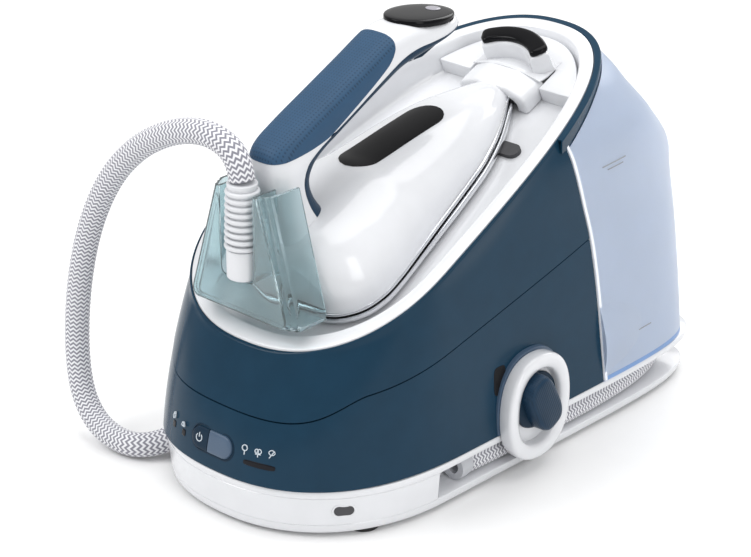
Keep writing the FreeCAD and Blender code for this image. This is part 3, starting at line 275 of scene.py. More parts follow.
def trimmed(points, faces, value):
    """The part of a mesh where value is positive, with a clean edge along the zero line."""
    points, value = [p.copy() for p in points], list(value)
    pulls = {}
    for face in faces:
        for a, b in zip(face, face[1:] + face[:1]):
            if value[a] * value[b] < 0:
                share = value[a] / (value[a] - value[b])
                place = points[a].lerp(points[b], share)
                for near, how_far in ((a, share), (b, 1 - share)):
                    if how_far < 0.25 and how_far < pulls.get(near, (1,))[0]:
                        pulls[near] = (how_far, place)
    for i, (_, place) in pulls.items():
        points[i], value[i] = place, 0.0
    crossings = {}
    kept = []
    for face in faces:
        if max(value[i] for i in face) <= 0:
            continue
        outline = []
        for a, b in zip(face, face[1:] + face[:1]):
            if value[a] >= 0:
                outline.append(a)
            if value[a] * value[b] < 0:
                key = (min(a, b), max(a, b))
                if key not in crossings:
                    crossings[key] = len(points)
                    points.append(points[a].lerp(points[b], value[a] / (value[a] - value[b])))
                    value.append(0.0)
                outline.append(crossings[key])
        if len(outline) > 2:
            kept.append(tuple(outline))
    used = sorted({i for face in kept for i in face})
    renumber = {old: new for new, old in enumerate(used)}
    return [points[i] for i in used], [tuple(renumber[i] for i in face) for face in kept]


def piece(name, points, faces, finish, body, stands_for=(), place=None, wall=0.0, bevel=0.0,
          crease=35.0, slot=None):
    """A finished piece: welded, given a wall and softened edges, and riding on its body."""
    mesh = bpy.data.meshes.new(name)
    place = place or Matrix()
    mesh.from_pydata([(place @ p) * MM for p in points], [], faces)
    work = bmesh.new()
    work.from_mesh(mesh)
    bmesh.ops.remove_doubles(work, verts=work.verts, dist=2e-6)
    bmesh.ops.recalc_face_normals(work, faces=work.faces)
    work.to_mesh(mesh)
    work.free()
    item = bpy.data.objects.new(name, mesh)
    bpy.context.scene.collection.objects.link(item)
    if wall:
        thick = item.modifiers.new("wall", "SOLIDIFY")
        thick.thickness = wall * MM
        thick.offset = -1
    if bevel:
        soft = item.modifiers.new("edges", "BEVEL")
        soft.width = bevel * MM
        soft.segments = 2
        soft.limit_method = "ANGLE"
        soft.angle_limit = math.radians(40)
        soft.use_clamp_overlap = True
    if wall or bevel:
        ready = item.evaluated_get(bpy.context.evaluated_depsgraph_get())
        mesh = bpy.data.meshes.new_from_object(ready)
        item.modifiers.clear()
        item.data = mesh
    mesh.materials.clear()
    mesh.materials.append(FINISH[finish])
    mesh.polygons.foreach_set("use_smooth", [True] * len(mesh.polygons))
    mesh.set_sharp_from_angle(angle=math.radians(crease))
    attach(item, body)
    if stands_for:
        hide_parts(*stands_for)
    return item


def superellipse(turn, half_width, front, rear, middle, front_round, rear_round):
    c, s = math.cos(turn), math.sin(turn)
    power = rear_round if s > 0 else front_round
    reach = rear - middle if s > 0 else middle - front
    r = (abs(c) ** power + abs(s) ** power) ** (-1.0 / power)
    return half_width * r * c, middle + reach * r * s


def through(table, x):
    """A smooth curve through a table's rows that never overshoots them."""
    x = min(max(x, table[0][0]), table[-1][0])
    slopes = [(b[1] - a[1]) / (b[0] - a[0]) for a, b in zip(table, table[1:])]
    tangents = [slopes[0]]
    for before, after in zip(slopes, slopes[1:]):
        tangents.append(2 * before * after / (before + after) if before * after > 0 else 0.0)
    tangents.append(slopes[-1])
    i = max(k for k in range(len(slopes)) if table[k][0] <= x)
    span = table[i + 1][0] - table[i][0]
    t = (x - table[i][0]) / span
    return (table[i][1] * (1 + 2 * t) * (1 - t) ** 2 + table[i + 1][1] * t * t * (3 - 2 * t)
            + span * t * (1 - t) * (tangents[i] * (1 - t) - tangents[i + 1] * t))


TURNS = [2 * math.pi * i / 320 for i in range(320)]

# ---------------------------------------------------------------- the station's outlines

WIDE = [(36, 108.6), (110, 105.2), (170, 100.6), (210, 97.5), (240, 84.6), (268, 61.2)]
REAR = [(36, 196.0), (110, 200.3), (170, 210.0), (210, 179.2), (240, 153.9), (268, 140.4)]
ROUND = [(36, 7.5), (110, 5.6), (170, 3.95), (210, 4.6), (240, 4.6), (268, 2.9)]


def front_reach(z):
    """Through (36, -208.5), (80, -197.1) and (122, -176.8)."""
    return (-208.5 * (z - 80) * (z - 122) / (44 * 86) + 197.1 * (z - 36) * (z - 122) / (44 * 42)
            - 176.8 * (z - 36) * (z - 80) / (86 * 42))


def body_point(turn, z, out=0.0):
    middle = -69.7 - 43.8 * (z - 36) / 230
    x, y = superellipse(turn, through(WIDE, z) + out, front_reach(z) - out, through(REAR, z) + out,
                        middle, 2.51, through(ROUND, z))
    return Vector((x, y, z))


def deck_level(y):
    return 172.515 + 0.5287 * (y + 88.3) - 0.00055 * (y + 88.3) ** 2


RIM_MIDDLE = -85.2
RIM_HALF = 100.5
RIM_ROUNDS = (2.315, 2.34)


def rim_point(turn, inset, z):
    x, y = superellipse(turn, RIM_HALF - inset, -176.4 + inset, 141.9 - inset, RIM_MIDDLE, *RIM_ROUNDS)
    return Vector((x, y, deck_level(y) + z))


def rim_reach(y):
    """How far the rim reaches from its middle, to the rear or to the front."""
    return 227.1 if y > RIM_MIDDLE else 91.2


def rim_turn(p):
    return math.atan2((p.y - RIM_MIDDLE) / rim_reach(p.y), p.x / RIM_HALF)


def outside_rim(p, outset):
    """Positive outside the deck's rim grown by outset, in about millimetres."""
    power = RIM_ROUNDS[p.y > RIM_MIDDLE]
    across = abs(p.x) / (RIM_HALF + outset)
    along = abs(p.y - RIM_MIDDLE) / (rim_reach(p.y) + outset)
    return 100 * ((across ** power + along ** power) ** (1 / power) - 1)


def seam_level(y):
    straight = 151.3 + 0.2305 * (y - 68.2)
    t = min(1, max(0, (y + 197) / 47))
    return 80.3 + (straight - 80.3) * t * t * (3 - 2 * t)


def border_along(z):
    low = 74.5 - 13.5 * (z - 34) / 121
    high = 61 - 29 * (z - 155) / 91
    return (low + high) / 2 - math.sqrt((low - high) ** 2 / 4 + 1.5)


def level_on_body(turn, rule, out=0.0):
    """The height at which the body's side meets a height rule that depends on y."""
    low, high = 36.0, 266.0
    for _ in range(26):
        z = (low + high) / 2
        if z < rule(body_point(turn, z, out).y):
            low = z
        else:
            high = z
    return (low + high) / 2


# ---------------------------------------------------------------- hose

HOSE_IN_GROOVE = [
    (94.6, -60, 20), (95.8, -18, 20), (96.4, 38, 20), (95.2, 92, 20), (90, 138, 20),
    (77, 170, 20), (51, 188, 20), (15, 195.5, 20), (-24, 195.5, 20), (-58, 187, 20),
    (-82, 165, 20), (-92.5, 130, 20), (-96, 80, 20), (-96.6, 25, 20), (-96.2, -30, 20),
    (-94.5, -80, 20), (-90, -120, 19.4),
]
HOSE_LOOP = [
    (-87, -149, 15.5), (-88, -171, 11), (-99, -187, 9.6), (-118, -190, 9.5),
    (-139, -189, 14), (-154, -187.5, 28), (-161, -186, 49), (-162, -185, 80),
    (-157, -184, 120), (-145, -182.5, 163), (-123, -181, 204), (-95, -179, 233),
    (-62, -177.5, 252), (-34, -176, 259), (-14, -175, 256), (-2, -174.3, 246),
    (0, -174, 233.6),
]
HOSE_RADIUS = 8.75


def hose_line():
    """The hose's own line: a smooth spline guided by its route's points, as close points."""
    curve = bpy.data.curves.new("hose_route", "CURVE")
    curve.dimensions = "3D"
    route = curve.splines.new("NURBS")
    guides = HOSE_IN_GROOVE + HOSE_LOOP
    route.points.add(len(guides) - 1)
    for point, guide in zip(route.points, guides):
        point.co = (*(Vector(guide) * MM), 1)
    route.order_u = 3
    route.use_endpoint_u = True
    route.resolution_u = 14
    holder = bpy.data.objects.new("hose_route", curve)
    bpy.context.scene.collection.objects.link(holder)
    ready = holder.evaluated_get(bpy.context.evaluated_depsgraph_get())
    mesh = bpy.data.meshes.new_from_object(ready)
    line = [v.co.copy() for v in mesh.vertices]
    bpy.data.objects.remove(holder)
    return line


def make_hose():
    line = hose_line()
    around = 28
    heading = (line[1] - line[0]).normalized()
    side = heading.orthogonal().normalized()
    rows, lengths, run = [], [], 0.0
    for i, place in enumerate(line):
        ahead = line[min(i + 1, len(line) - 1)] - line[max(i - 1, 0)]
        side = (side - ahead.normalized() * side.dot(ahead.normalized())).normalized()
        across = ahead.normalized().cross(side)
        if i:
            run += (place - line[i - 1]).length
        lengths.append(run)
        rows.append([place / MM + (side * math.cos(t) + across * math.sin(t)) * HOSE_RADIUS
                     for t in (2 * math.pi * k / around for k in range(around))])
    points, faces = grid(rows, True, True)
    mesh = bpy.data.meshes.new("hose")
    mesh.from_pydata([p * MM for p in points], [], faces)
    layout = mesh.uv_layers.new(name="weave")
    for face in mesh.polygons:
        for corner, vertex in zip(face.loop_indices, face.vertices):
            column, row = vertex % around, vertex // around
            if vertex >= len(rows) * around:
                column, row = 0, 0 if vertex == len(rows) * around else len(rows) - 1
            wrapped = column == 0 and any(v % around == around - 1 for v in face.vertices)
            layout.data[corner].uv = ((1.0 if wrapped else column / around), lengths[row])
    mesh.materials.append(FINISH["hose_weave"])
    mesh.polygons.foreach_set("use_smooth", [True] * len(mesh.polygons))
    work = bmesh.new()
    work.from_mesh(mesh)
    bmesh.ops.recalc_face_normals(work, faces=work.faces)
    work.to_mesh(mesh)
    work.free()
    hose = bpy.data.objects.new("hose", mesh)
    bpy.context.scene.collection.objects.link(hose)
    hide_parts("hose_stored", "hose_loop")
    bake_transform(hose)


make_hose()

# ---------------------------------------------------------------- base


def tray_point(turn, inset, z):
    grown = 3.4 * (z - 3) / 33 - inset
    x, y = superellipse(turn, 104.9 + grown, -205 - grown, 205 + grown, -88.3, 2.25, 7.5)
    return Vector((x, y, z))


def groove_depth(turn):
    """0 along the plain front, 1 where the hose lies in its groove."""
    x, y = superellipse(turn, 104.9, -205, 205, -88.3, 2.25, 7.5)
    start = -99.0 if x > 0 else -160.0
    return min(1, max(0, (y - start) / 4.0)) ** 0.5


def make_base():
    profile = [(9, 3.0, 0), (2.4, 3.0, 0), (0.9, 3.5, 0), (0.3, 4.8, 0), (0, 6.5, 0), (0, 9.0, 0),
               (0.4, 9.7, 0), (1.2, 10, 1), (21, 10, 20), (23, 12, 22), (23, 28, 22), (21, 30, 20),
               (1.2, 30, 1), (0.4, 30.4, 0), (0, 31.2, 0), (0, 34.4, 0), (0.5, 35.5, 0),
               (1.6, 36, 0), (9, 36, 0)]
    rows = []
    for inset, z, deep in profile:
        row = []
        for turn in TURNS:
            depth = groove_depth(turn)
            row.append(tray_point(turn, inset if not deep else inset * depth, z))
        rows.append(row)
    piece("base_tray_shell", *grid(rows, True, True), "white_gloss", "station", ["base_tray"], crease=28)
    turn = math.radians(-40.6)
    here, ahead = tray_point(turn, 0, 20.7), tray_point(turn + 0.01, 0, 20.7)
    facing = math.atan2(-(ahead.x - here.x), ahead.y - here.y)
    inlet_place = Matrix.Translation(here) @ Matrix.Rotation(facing, 4, "Z")
    rows = [stadium_ring(grow + 8.2, grow + 4.9, level)
            for grow, level in ((0, -1.0), (0, 0.45), (-0.5, 0.75), (-1.1, 0.6), (-1.5, 0.1),
                                (-1.7, -0.9))]
    piece("mains_inlet_lip", *grid([[Vector((p.z, p.x, p.y)) for p in row] for row in rows]),
          "white_gloss", "station", place=inlet_place, wall=0.3)
    rows = [stadium_ring(grow + 6.7, grow + 3.4, level)
            for grow, level in ((0, 0.3), (-0.6, 0.32), (-2, 0.34))]
    points, faces = grid([[Vector((p.z, p.x, p.y)) for p in row] for row in rows], False, True)
    piece("mains_inlet_grommet", points, faces, "rubber_grey", "station", ["mains_gland"],
          place=inlet_place, wall=1.6, slot="rubber_black")


def stadium_ring(half_length, half_height, level, count=48):
    """A flat-sided oval outline at a level, as points (across, up, level)."""
    ring = []
    straight = half_length - half_height
    for i in range(count):
        turn = 2 * math.pi * (i + 0.5) / count
        c, s = math.cos(turn), math.sin(turn)
        ring.append(Vector((math.copysign(straight, c) + half_height * c, half_height * s, level)))
    return ring


make_base()

# ---------------------------------------------------------------- housings, deck and tank


def side_net(low_rule, high_rule, count, out=0.0):
    """Rows up the body's side between two height rules, each from border round to border."""
    def behind(share, turn):
        low, high = level_on_body(turn, low_rule, out), level_on_body(turn, high_rule, out)
        spot = body_point(turn, low + (high - low) * share, out)
        return spot.y - border_along(spot.z) + 0.5

    rows = []
    for step in range(count + 1):
        share = step / count
        low, high = -0.7, 1.2
        for _ in range(20):
            middle = (low + high) / 2
            low, high = (middle, high) if behind(share, middle) < 0 else (low, middle)
        row = []
        for k in range(201):
            turn = low - (math.pi + 2 * low) * k / 200
            bottom, top = level_on_body(turn, low_rule, out), level_on_body(turn, high_rule, out)
            row.append(body_point(turn, bottom + (top - bottom) * share, out))
        rows.append(row)
    return rows


def drawn_in(row, amount):
    return [p + Vector((-p.x, -85 - p.y, 0)).normalized() * amount for p in row]


def outside_of_rim(p):
    """Keeps the body's shoulder just proud of the deck's rim."""
    below = deck_level(p.y) - 2.2 - p.z
    proud = 1.7 * max(0.0, 1 - below / 25)
    if proud == 0 or outside_rim(p, proud) > 0:
        return p
    edge = rim_point(rim_turn(p), -proud, 0)
    return Vector((edge.x, edge.y, p.z))


def make_housings():
    rows = side_net(lambda y: 36.6, lambda y: seam_level(y) - 0.6, 14)
    points, faces = grid(rows + [drawn_in(rows[-1], 0.8), drawn_in(rows[-1], 2.4)], ring=False)
    piece("lower_fascia_shell", points, faces, "navy_gloss", "station", ["lower_fascia"], wall=2.4)
    rows = side_net(lambda y: seam_level(y) + 0.5, lambda y: deck_level(y) - 2.2, 14, out=0.35)
    rows = [[outside_of_rim(p) for p in row] for row in rows]
    ledge = []
    for share, drop in ((0.1, 1.0), (0.3, 0.5), (0.65, 0.4), (1.0, 0.9)):
        ledge.append([])
        for edge in rows[-1]:
            place = edge.lerp(rim_point(rim_turn(edge), -0.4, 0), share)
            place.z = deck_level(place.y) - drop
            ledge[-1].append(place)
    piece("upper_housing_shell", *grid([drawn_in(rows[0], 2.4)] + rows + ledge, ring=False),
          "navy_gloss", "station", ["upper_housing"], wall=2.2)
    band = [[rim_point(turn, -out, -drop) for turn in TURNS]
            for out, drop in ((0.4, 4), (0.4, 1.0), (0.9, 0.5), (4.9, 0.5), (5.6, 1.2), (5.6, 12),
                              (5.6, 40))]
    points, faces = grid(band)
    points, faces = trimmed(points, faces, [p.y - 33.2 for p in points])
    keep = [p.y - border_along(p.z) - 0.6 + 40 * (p.z > deck_level(p.y) - 2) for p in points]
    points, faces = trimmed(points, faces, keep)
    piece("dock_band", points, faces, "navy_gloss", "station", wall=1.4)


SLOPE = math.radians(24.3)
IRON = Matrix.Translation((0, -140, 126)) @ Matrix.Rotation(SLOPE, 4, "X")


def sole_level(y, n):
    """Height of the plane that lies n over the sole, at y."""
    return 126 + (n + (y + 140) * math.sin(SLOPE)) / math.cos(SLOPE)


def make_deck():
    rows = []
    for inset, drop in ((3.7, -3), (0, -3), (0, -0.9), (0.25, -0.3), (0.9, 0), (5, 0.15), (9.0, 0),
                        (9.8, -0.3), (10.2, -1.0)):
        rows.append([rim_point(turn, inset, drop) for turn in TURNS])
    top = rows[-1]
    wall = [[Vector((p.x, p.y, p.z + (sole_level(p.y, -3) - p.z) * share)) for p in top]
            for share in (0.3, 0.7, 0.94)]
    rows += wall
    for scale in (0.985, 0.95, 0.8, 0.6, 0.4, 0.2):
        row = [(p.x * scale, RIM_MIDDLE + (p.y - RIM_MIDDLE) * scale) for p in top]
        rows.append([Vector((x, y, sole_level(y, -3))) for x, y in row])
    piece("deck_tray", *grid(rows, False, True), "white_gloss", "station", ["deck"], crease=50)
    inverse = IRON.inverted()
    edge = []
    for turn in TURNS:
        x, y = superellipse(turn, 90.3, -166.2, 131.7, RIM_MIDDLE, *RIM_ROUNDS)
        local = inverse @ Vector((x, y, sole_level(y, 3)))
        if local.y > 250:
            edge.append((local.x, local.y))
    outline = edge + [(edge[-1][0], 250), (-31.9, 250), (-31.9, 270.5), (31.9, 270.5),
                      (31.9, 250), (edge[0][0], 250)]
    rows = [[Vector((x, u, n)) for x, u in outline] for n in (-3.4, 9)]
    points, faces = grid(rows)
    count = len(outline)
    faces += [tuple(range(count)), tuple(range(2 * count - 1, count - 1, -1))]
    piece("deck_platform", points, faces, "white_gloss", "station", place=IRON, bevel=1.2)


LID_HALF = 28.0
TANK_SKIN = 0.9
TANK_BOTTOM = 36.8
TANK_FOOT_TOP = 40.2
LEVEL_LINES = [(196.7, [(0, 0, 9), (2, -3.4, 7)]), (63.3, [(0, 0, 8)])]


def tank_row(z, out):
    """One outline of the tank at a height, from the border round the rear to the border."""
    def sideways(turn):
        return body_point(turn, z, out).y - border_along(z) - 0.5

    low, high = -0.9, 1.2
    for _ in range(30):
        middle = (low + high) / 2
        low, high = (middle, high) if sideways(middle) < 0 else (low, middle)
    start = high
    return [body_point(start + (math.pi - 2 * start) * k / 160, z, out) for k in range(161)]


def make_tank():
    rows = [tank_row(TANK_BOTTOM + 229 * step / 96, TANK_SKIN) for step in range(97)]
    points, faces = grid(rows, ring=False)
    points, faces = trimmed(points, faces, [outside_rim(p, 6.2) for p in points])
    points, faces = trimmed(points, faces, [deck_level(p.y) - 1.0 - p.z for p in points])
    hatch = (Matrix.Translation((0, 170, 212)) @ Matrix.Rotation(math.radians(-47), 4, "X")).inverted()
    near = [hatch @ p for p in points]
    points, faces = trimmed(points, faces,
                            [max(abs(q.x) - LID_HALF - 0.6, abs(q.y - 0.5) - 15.3) for q in near])
    main, main_faces = trimmed(points, faces, [p.z - TANK_FOOT_TOP for p in points])
    piece("tank_shell", main, main_faces, "tank_blue", "tank", wall=0.2)
    foot, foot_faces = trimmed(points, faces, [40.1 - p.z for p in points])
    piece("tank_foot_edge", foot, foot_faces, "tank_foot", "tank", wall=2.6, slot="tank_blue")
    for side, name in ((1, "tank_front_edge_right"), (-1, "tank_front_edge_left")):
        rows = []
        for step in range(70):
            z = 37.0 + 186 * step / 69
            first, second = tank_row(z, 1.2)[0], tank_row(z, 1.2)[2]
            across = (second - first).normalized() * 2.6
            deep = Vector((-across.y, across.x, 0)).normalized() * 4.0
            outer_edge = first - across * 0.05
            ring = [outer_edge, first + across, first + across + deep, outer_edge + deep]
            rows.append([Vector((side * p.x, p.y, p.z)) for p in ring])
        piece(name, *grid(rows, True, True), "tank_edge", "tank", bevel=0.3, slot="tank_blue")
    for z, lines in LEVEL_LINES:
        level_mark("tank_level_%d" % z, z, lines)


def level_mark(name, z, lines):
    """Short raised level lines on the right side of the tank, each (start, rise, end)."""
    points, faces = [], []
    for start, drop, end in lines:
        rows = []
        for k in range(9):
            spot = start + (end - start) * k / 8
            row = tank_row(z + drop, TANK_SKIN)
            at = row[int(6 + spot * 0.75)]
            after = row[int(6 + spot * 0.75) + 1]
            normal = Vector(((after - at).y, -(after - at).x, 0)).normalized() * 0.35
            rows.append([at + normal + Vector((0, 0, 0.3)), at + normal - Vector((0, 0, 0.3)),
                         at - normal - Vector((0, 0, 0.3)), at - normal + Vector((0, 0, 0.3))])
        add(points, faces, *grid(rows, True, True))
    piece(name, points, faces, "grey_plastic", "tank")


make_housings()
make_deck()
make_tank()

# ---------------------------------------------------------------- knob and control panel


def side_ring(half_width, half_height, x):
    ring = []
    for turn in TURNS[::4]:
        y, z = superellipse(turn, half_width, -half_height, half_height, 0, 2.3, 2.3)
        ring.append(Vector((x, -10 + y, 51 + z)))
    return ring


def make_knob():
    profile = [(30, 37, 109.4), (31.6, 38.6, 109.4), (32, 39, 110.2), (32, 39, 117.0), (31.6, 38.6, 118.8),
               (30.6, 37.6, 119.8), (28.8, 35.8, 120.2), (25.6, 32.4, 120.0), (22.8, 29.4, 119.2),
               (21.9, 28.2, 117.6), (21.7, 27.9, 115), (21.5, 27.6, 112.0), (15, 18, 111.6)]
    piece("knob_ring_shell", *grid([side_ring(*row) for row in profile], True, True), "white_gloss",
          "station", ["knob_ring"], crease=45)
    profile = [(30, 37, 104.5), (33.6, 40.6, 104.5), (34.0, 41.0, 106), (33.6, 40.6, 109.0),
               (30, 37, 109.2)]
    points, faces = grid([side_ring(*row) for row in profile], True, True)
    points, faces = trimmed(points, faces, [p.z - 36.6 for p in points])
    piece("knob_collar", points, faces, "grey_blue", "station", ["knob_backing"], wall=1.0)
    rows = []
    for radius, x in ((12, 104), (19.4, 112.2), (20.4, 112.8), (20.8, 114.0), (20.2, 115.4), (17, 116.0)):
        rows.append([Vector((x, radius * math.cos(t), radius * math.sin(t))) for t in TURNS[::4]])
    points, faces = grid(rows, True, True)
    place = Matrix.Translation((0, -10, 55))
    piece("knob_disc", points, faces, "navy_matte", "knob", ["calc_knob"], place=place, slot="navy_satin")
    rows = []
    for grow, x in ((0.3, 114.5), (0.2, 118.0), (0.0, 122.5), (-0.6, 124.8), (-1.9, 126.0), (-4.0, 126.5)):
        row = []
        for turn in TURNS[::4]:
            y, z = superellipse(turn, 12.8 + grow, -21.8 - grow, 21.8 + grow, 0, 3.2, 3.2)
            row.append(Vector((x, y, z)))
        rows.append(row)
    points, faces = grid(rows, True, True)
    turned = place @ Matrix.Rotation(math.radians(28), 4, "X")
    piece("knob_grip", points, faces, "navy_satin", "knob", place=turned, crease=50)


PANEL = Matrix.Translation((-2.0, -204.6, 54.5)) @ Matrix.Rotation(math.radians(76), 4, "X")


def make_buttons():
    rows = [stadium_ring(20.4, 9.6, level) for level in (-5, -0.4)]
    rows += [stadium_ring(20.2, 9.4, 0.1), stadium_ring(19.4, 8.6, 0.2), stadium_ring(19.1, 8.3, -0.3),
             stadium_ring(19.0, 8.2, -4)]
    piece("button_frame", *grid(rows, True, True), "navy_matte", "station", ["button_bezel"],
          place=PANEL)
    rows = [stadium_ring(18.6 - grow, 7.8 - grow, level)
            for grow, level in ((0, -2.4), (0, 0.7), (0.25, 1.3), (0.9, 1.7), (3.0, 1.9), (6.0, 1.95))]
    points, faces = grid(rows, True, True)
    for name, node, finish, keep in (
            ("power_button_cap", "power_button", "navy_matte", [-3.1 - p.x for p in points]),
            ("mode_button_cap", "mode_button", "grey_blue", [p.x + 2.4 for p in points])):
        part, part_faces = trimmed(points, faces, keep)
        piece(name, part, part_faces, finish, node.split("_")[0], [node], place=PANEL, wall=0.8)
    ring = []
    for radius, level in ((2.9, 1.95), (2.9, 2.25), (2.3, 2.25), (2.3, 1.95)):
        ring.append([Vector((-11.0 + radius * math.cos(t), radius * math.sin(t), level))
                     for t in (math.radians(125 + 290 * k / 30) for k in range(31))])
    piece("power_mark", *grid(ring, ring=False), "print_light", "power", place=PANEL, wall=0.1,
          slot="grey_plastic")
    corners = ((-0.3, 0.4), (0.3, 0.4), (0.3, 3.6), (-0.3, 3.6))
    bar = [[Vector((-11.0 + dx, dy, level)) for dx, dy in corners] for level in (1.9, 2.25)]
    piece("power_mark_bar", *grid(bar, True, True), "print_light", "power", place=PANEL,
          slot="grey_plastic")


def panel_mark(name, x, y, z, outlines):
    """Small raised marks on the panel's face round a point, from short strokes."""
    points, faces = [], []
    facing = math.radians(-0.55 * x)
    place = (Matrix.Translation((x, y, z)) @ Matrix.Rotation(-facing, 4, "Z")
             @ Matrix.Rotation(math.radians(76), 4, "X"))
    for ax, ay, bx, by in outlines:
        along = Vector((bx - ax, by - ay, 0)).normalized()
        side = Vector((-along.y, along.x, 0)) * 0.28
        corners = [Vector((ax, ay, 0)) - side, Vector((bx, by, 0)) - side, Vector((bx, by, 0)) + side,
                   Vector((ax, ay, 0)) + side]
        rows = [[c + Vector((0, 0, level)) for c in corners] for level in (-0.6, 0.5)]
        add(points, faces, *grid(rows, True, True))
    piece(name, points, faces, "print_light", "station", place=place, slot="grey_plastic")


def circle_strokes(cx, cy, radius, start=0, stop=360, count=10):
    ends = [math.radians(start + (stop - start) * k / count) for k in range(count + 1)]
    return [(cx + radius * math.cos(a), cy + radius * math.sin(a), cx + radius * math.cos(b),
             cy + radius * math.sin(b)) for a, b in zip(ends, ends[1:])]


def body_patch(x_low, x_high, z_low, z_high, out, axis=0, turns=(-math.pi, -0.1)):
    """A soft oblong patch on the body, between two places along an axis and two heights."""
    middle_x, middle_z = (x_low + x_high) / 2, (z_low + z_high) / 2
    rows = []
    for scale, lift in ((1.0, -1.2), (1.0, out - 0.1), (0.93, out), (0.5, out), (0.05, out)):
        row = []
        for k in range(40):
            t = 2 * math.pi * k / 40
            c, si = math.cos(t), math.sin(t)
            x = middle_x + (x_high - x_low) / 2 * scale * math.copysign(abs(c) ** 0.45, c)
            z = middle_z + (z_high - z_low) / 2 * scale * math.copysign(abs(si) ** 0.45, si)
            low, high = turns
            for _ in range(24):
                turn = (low + high) / 2
                low, high = (turn, high) if body_point(turn, z)[axis] < x else (low, turn)
            row.append(body_point(turn, z, lift))
        rows.append(row)
    return grid(rows, True, True)


def make_windows():
    piece("indicator_window", *body_patch(26.8, 50.2, 48.8, 52.4, 0.35), "smoked", "station",
          ["indicator_strip"])
    points, faces = body_patch(-33.6, -29.6, 48.6, 53.0, 0.35)
    add(points, faces, *body_patch(-46.6, -42.6, 49.4, 53.8, 0.35))
    piece("signal_windows", points, faces, "smoked", "station", ["led_windows"])
    piece("side_slot", *body_patch(-45.5, -33.5, 67.0, 88.0, 0.3, 1, (-1.2, 0.8)), "black_plastic",
          "station")


make_knob()
make_buttons()
make_windows()
panel_mark("heat_mark", -31.6, -203.6, 57.2,
           [(-1.8, -1.2, 1.8, -1.2), (1.8, -1.2, 0.6, 1.2), (0.6, 1.2, -0.8, 1.2),
            (-0.8, 1.2, -1.8, -1.2)])
panel_mark("water_mark", -44.6, -199.4, 58.0,
           circle_strokes(0, -0.6, 1.5) + [(-1.1, 0.5, 0, 2.4), (1.1, 0.5, 0, 2.4)])
panel_mark("delicate_mark", 26.8, -202.6, 58.4, circle_strokes(0, 1.4, 2.0) + [(0, -0.6, 0, -3.2)])
panel_mark("normal_mark", 36.9, -200.3, 58.9, circle_strokes(-0.9, 1.0, 1.3) + circle_strokes(1.1, 1.0, 1.5)
           + [(-1.8, -1.0, 2.2, -1.0), (0, -1.0, 0, -3.0)])
panel_mark("eco_mark", 46.6, -196.9, 59.7, circle_strokes(0, 0.4, 2.4, 20, 160)
           + circle_strokes(0, 1.9, 2.4, 200, 340) + [(-1.8, -2.6, 1.8, 2.6)])

# ---------------------------------------------------------------- iron: sole and body

SOLE_SIDE = [(19.7, 5.5), (35.7, 7), (48, 12.5), (58.7, 24), (63.4, 39.6), (63.1, 57), (59.8, 83),
             (56.4, 109.5), (52.9, 136.5), (46.8, 171.7), (37.5, 199.8), (25, 224.9), (14.5, 242)]
HEEL_END, TIP_END = 4.5, 254.0


def smooth_ring(corners, steps):
    """A closed smooth outline through its corners."""
    count = len(corners)
    ring = []
    for i in range(count):
        a, b, c, d = (Vector(corners[(i + k) % count]) for k in (-1, 0, 1, 2))
        for step in range(steps):
            t = step / steps
            ring.append(0.5 * ((2 * b) + (c - a) * t + (2 * a - 5 * b + 4 * c - d) * t * t
                               + (3 * b - a - 3 * c + d) * t ** 3))
    return ring


SOLE_RING = smooth_ring([(0, HEEL_END)] + SOLE_SIDE + [(0, TIP_END)]
                        + [(-x, u) for x, u in SOLE_SIDE[::-1]], 8)


def toward_tip(u):
    t = min(1, max(0, (u - 50) / 90))
    return t * t * (3 - 2 * t)


def sole_ring(inset, n, taper=0.0):
    ring = []
    for i, point in enumerate(SOLE_RING):
        along = (SOLE_RING[(i + 1) % len(SOLE_RING)] - SOLE_RING[i - 1]).normalized()
        inset_here = inset + taper * toward_tip(point.y)
        ring.append(Vector((point.x - along.y * inset_here, point.y + along.x * inset_here, n)))
    return ring


def sole_half(u):
    table = [(HEEL_END, 0.0)] + [(along, half) for half, along in SOLE_SIDE] + [(TIP_END, 0.0)]
    return through(table, u)


CROWN = [(8, 48), (30, 57), (48, 58.8), (80, 58.4), (93, 57.5), (109, 53), (147, 44.6), (189, 34),
         (217, 24),
         (240, 14.5), (253, 9.6)]


def body_rows(out):
    rows = []
    ends = [9.6, 10.0, 11.0, 13.0, 16.0, 20.0]
    stations = ends + [20 + 233 * k / 72 for k in range(1, 73)]
    for u in stations:
        close = min(1, 0.9 + 0.1 * math.sqrt(max(0, u - 9.6) / 6.4)) if u < 16 else 1
        sole = sole_half(max(u, 7.5))
        half = (sole - 0.9 - min(3.4 * toward_tip(u), 0.3 * sole)) * close + out
        crown = (through(CROWN, u) - 8) * close + out
        row = []
        for k in range(41):
            turn = math.pi * k / 40
            c, s = math.cos(turn), math.sin(turn)
            row.append(Vector((half * math.copysign(abs(c) ** 0.86, c), u, 8 + crown * s ** 1.06)))
        rows.append(row)
    return rows


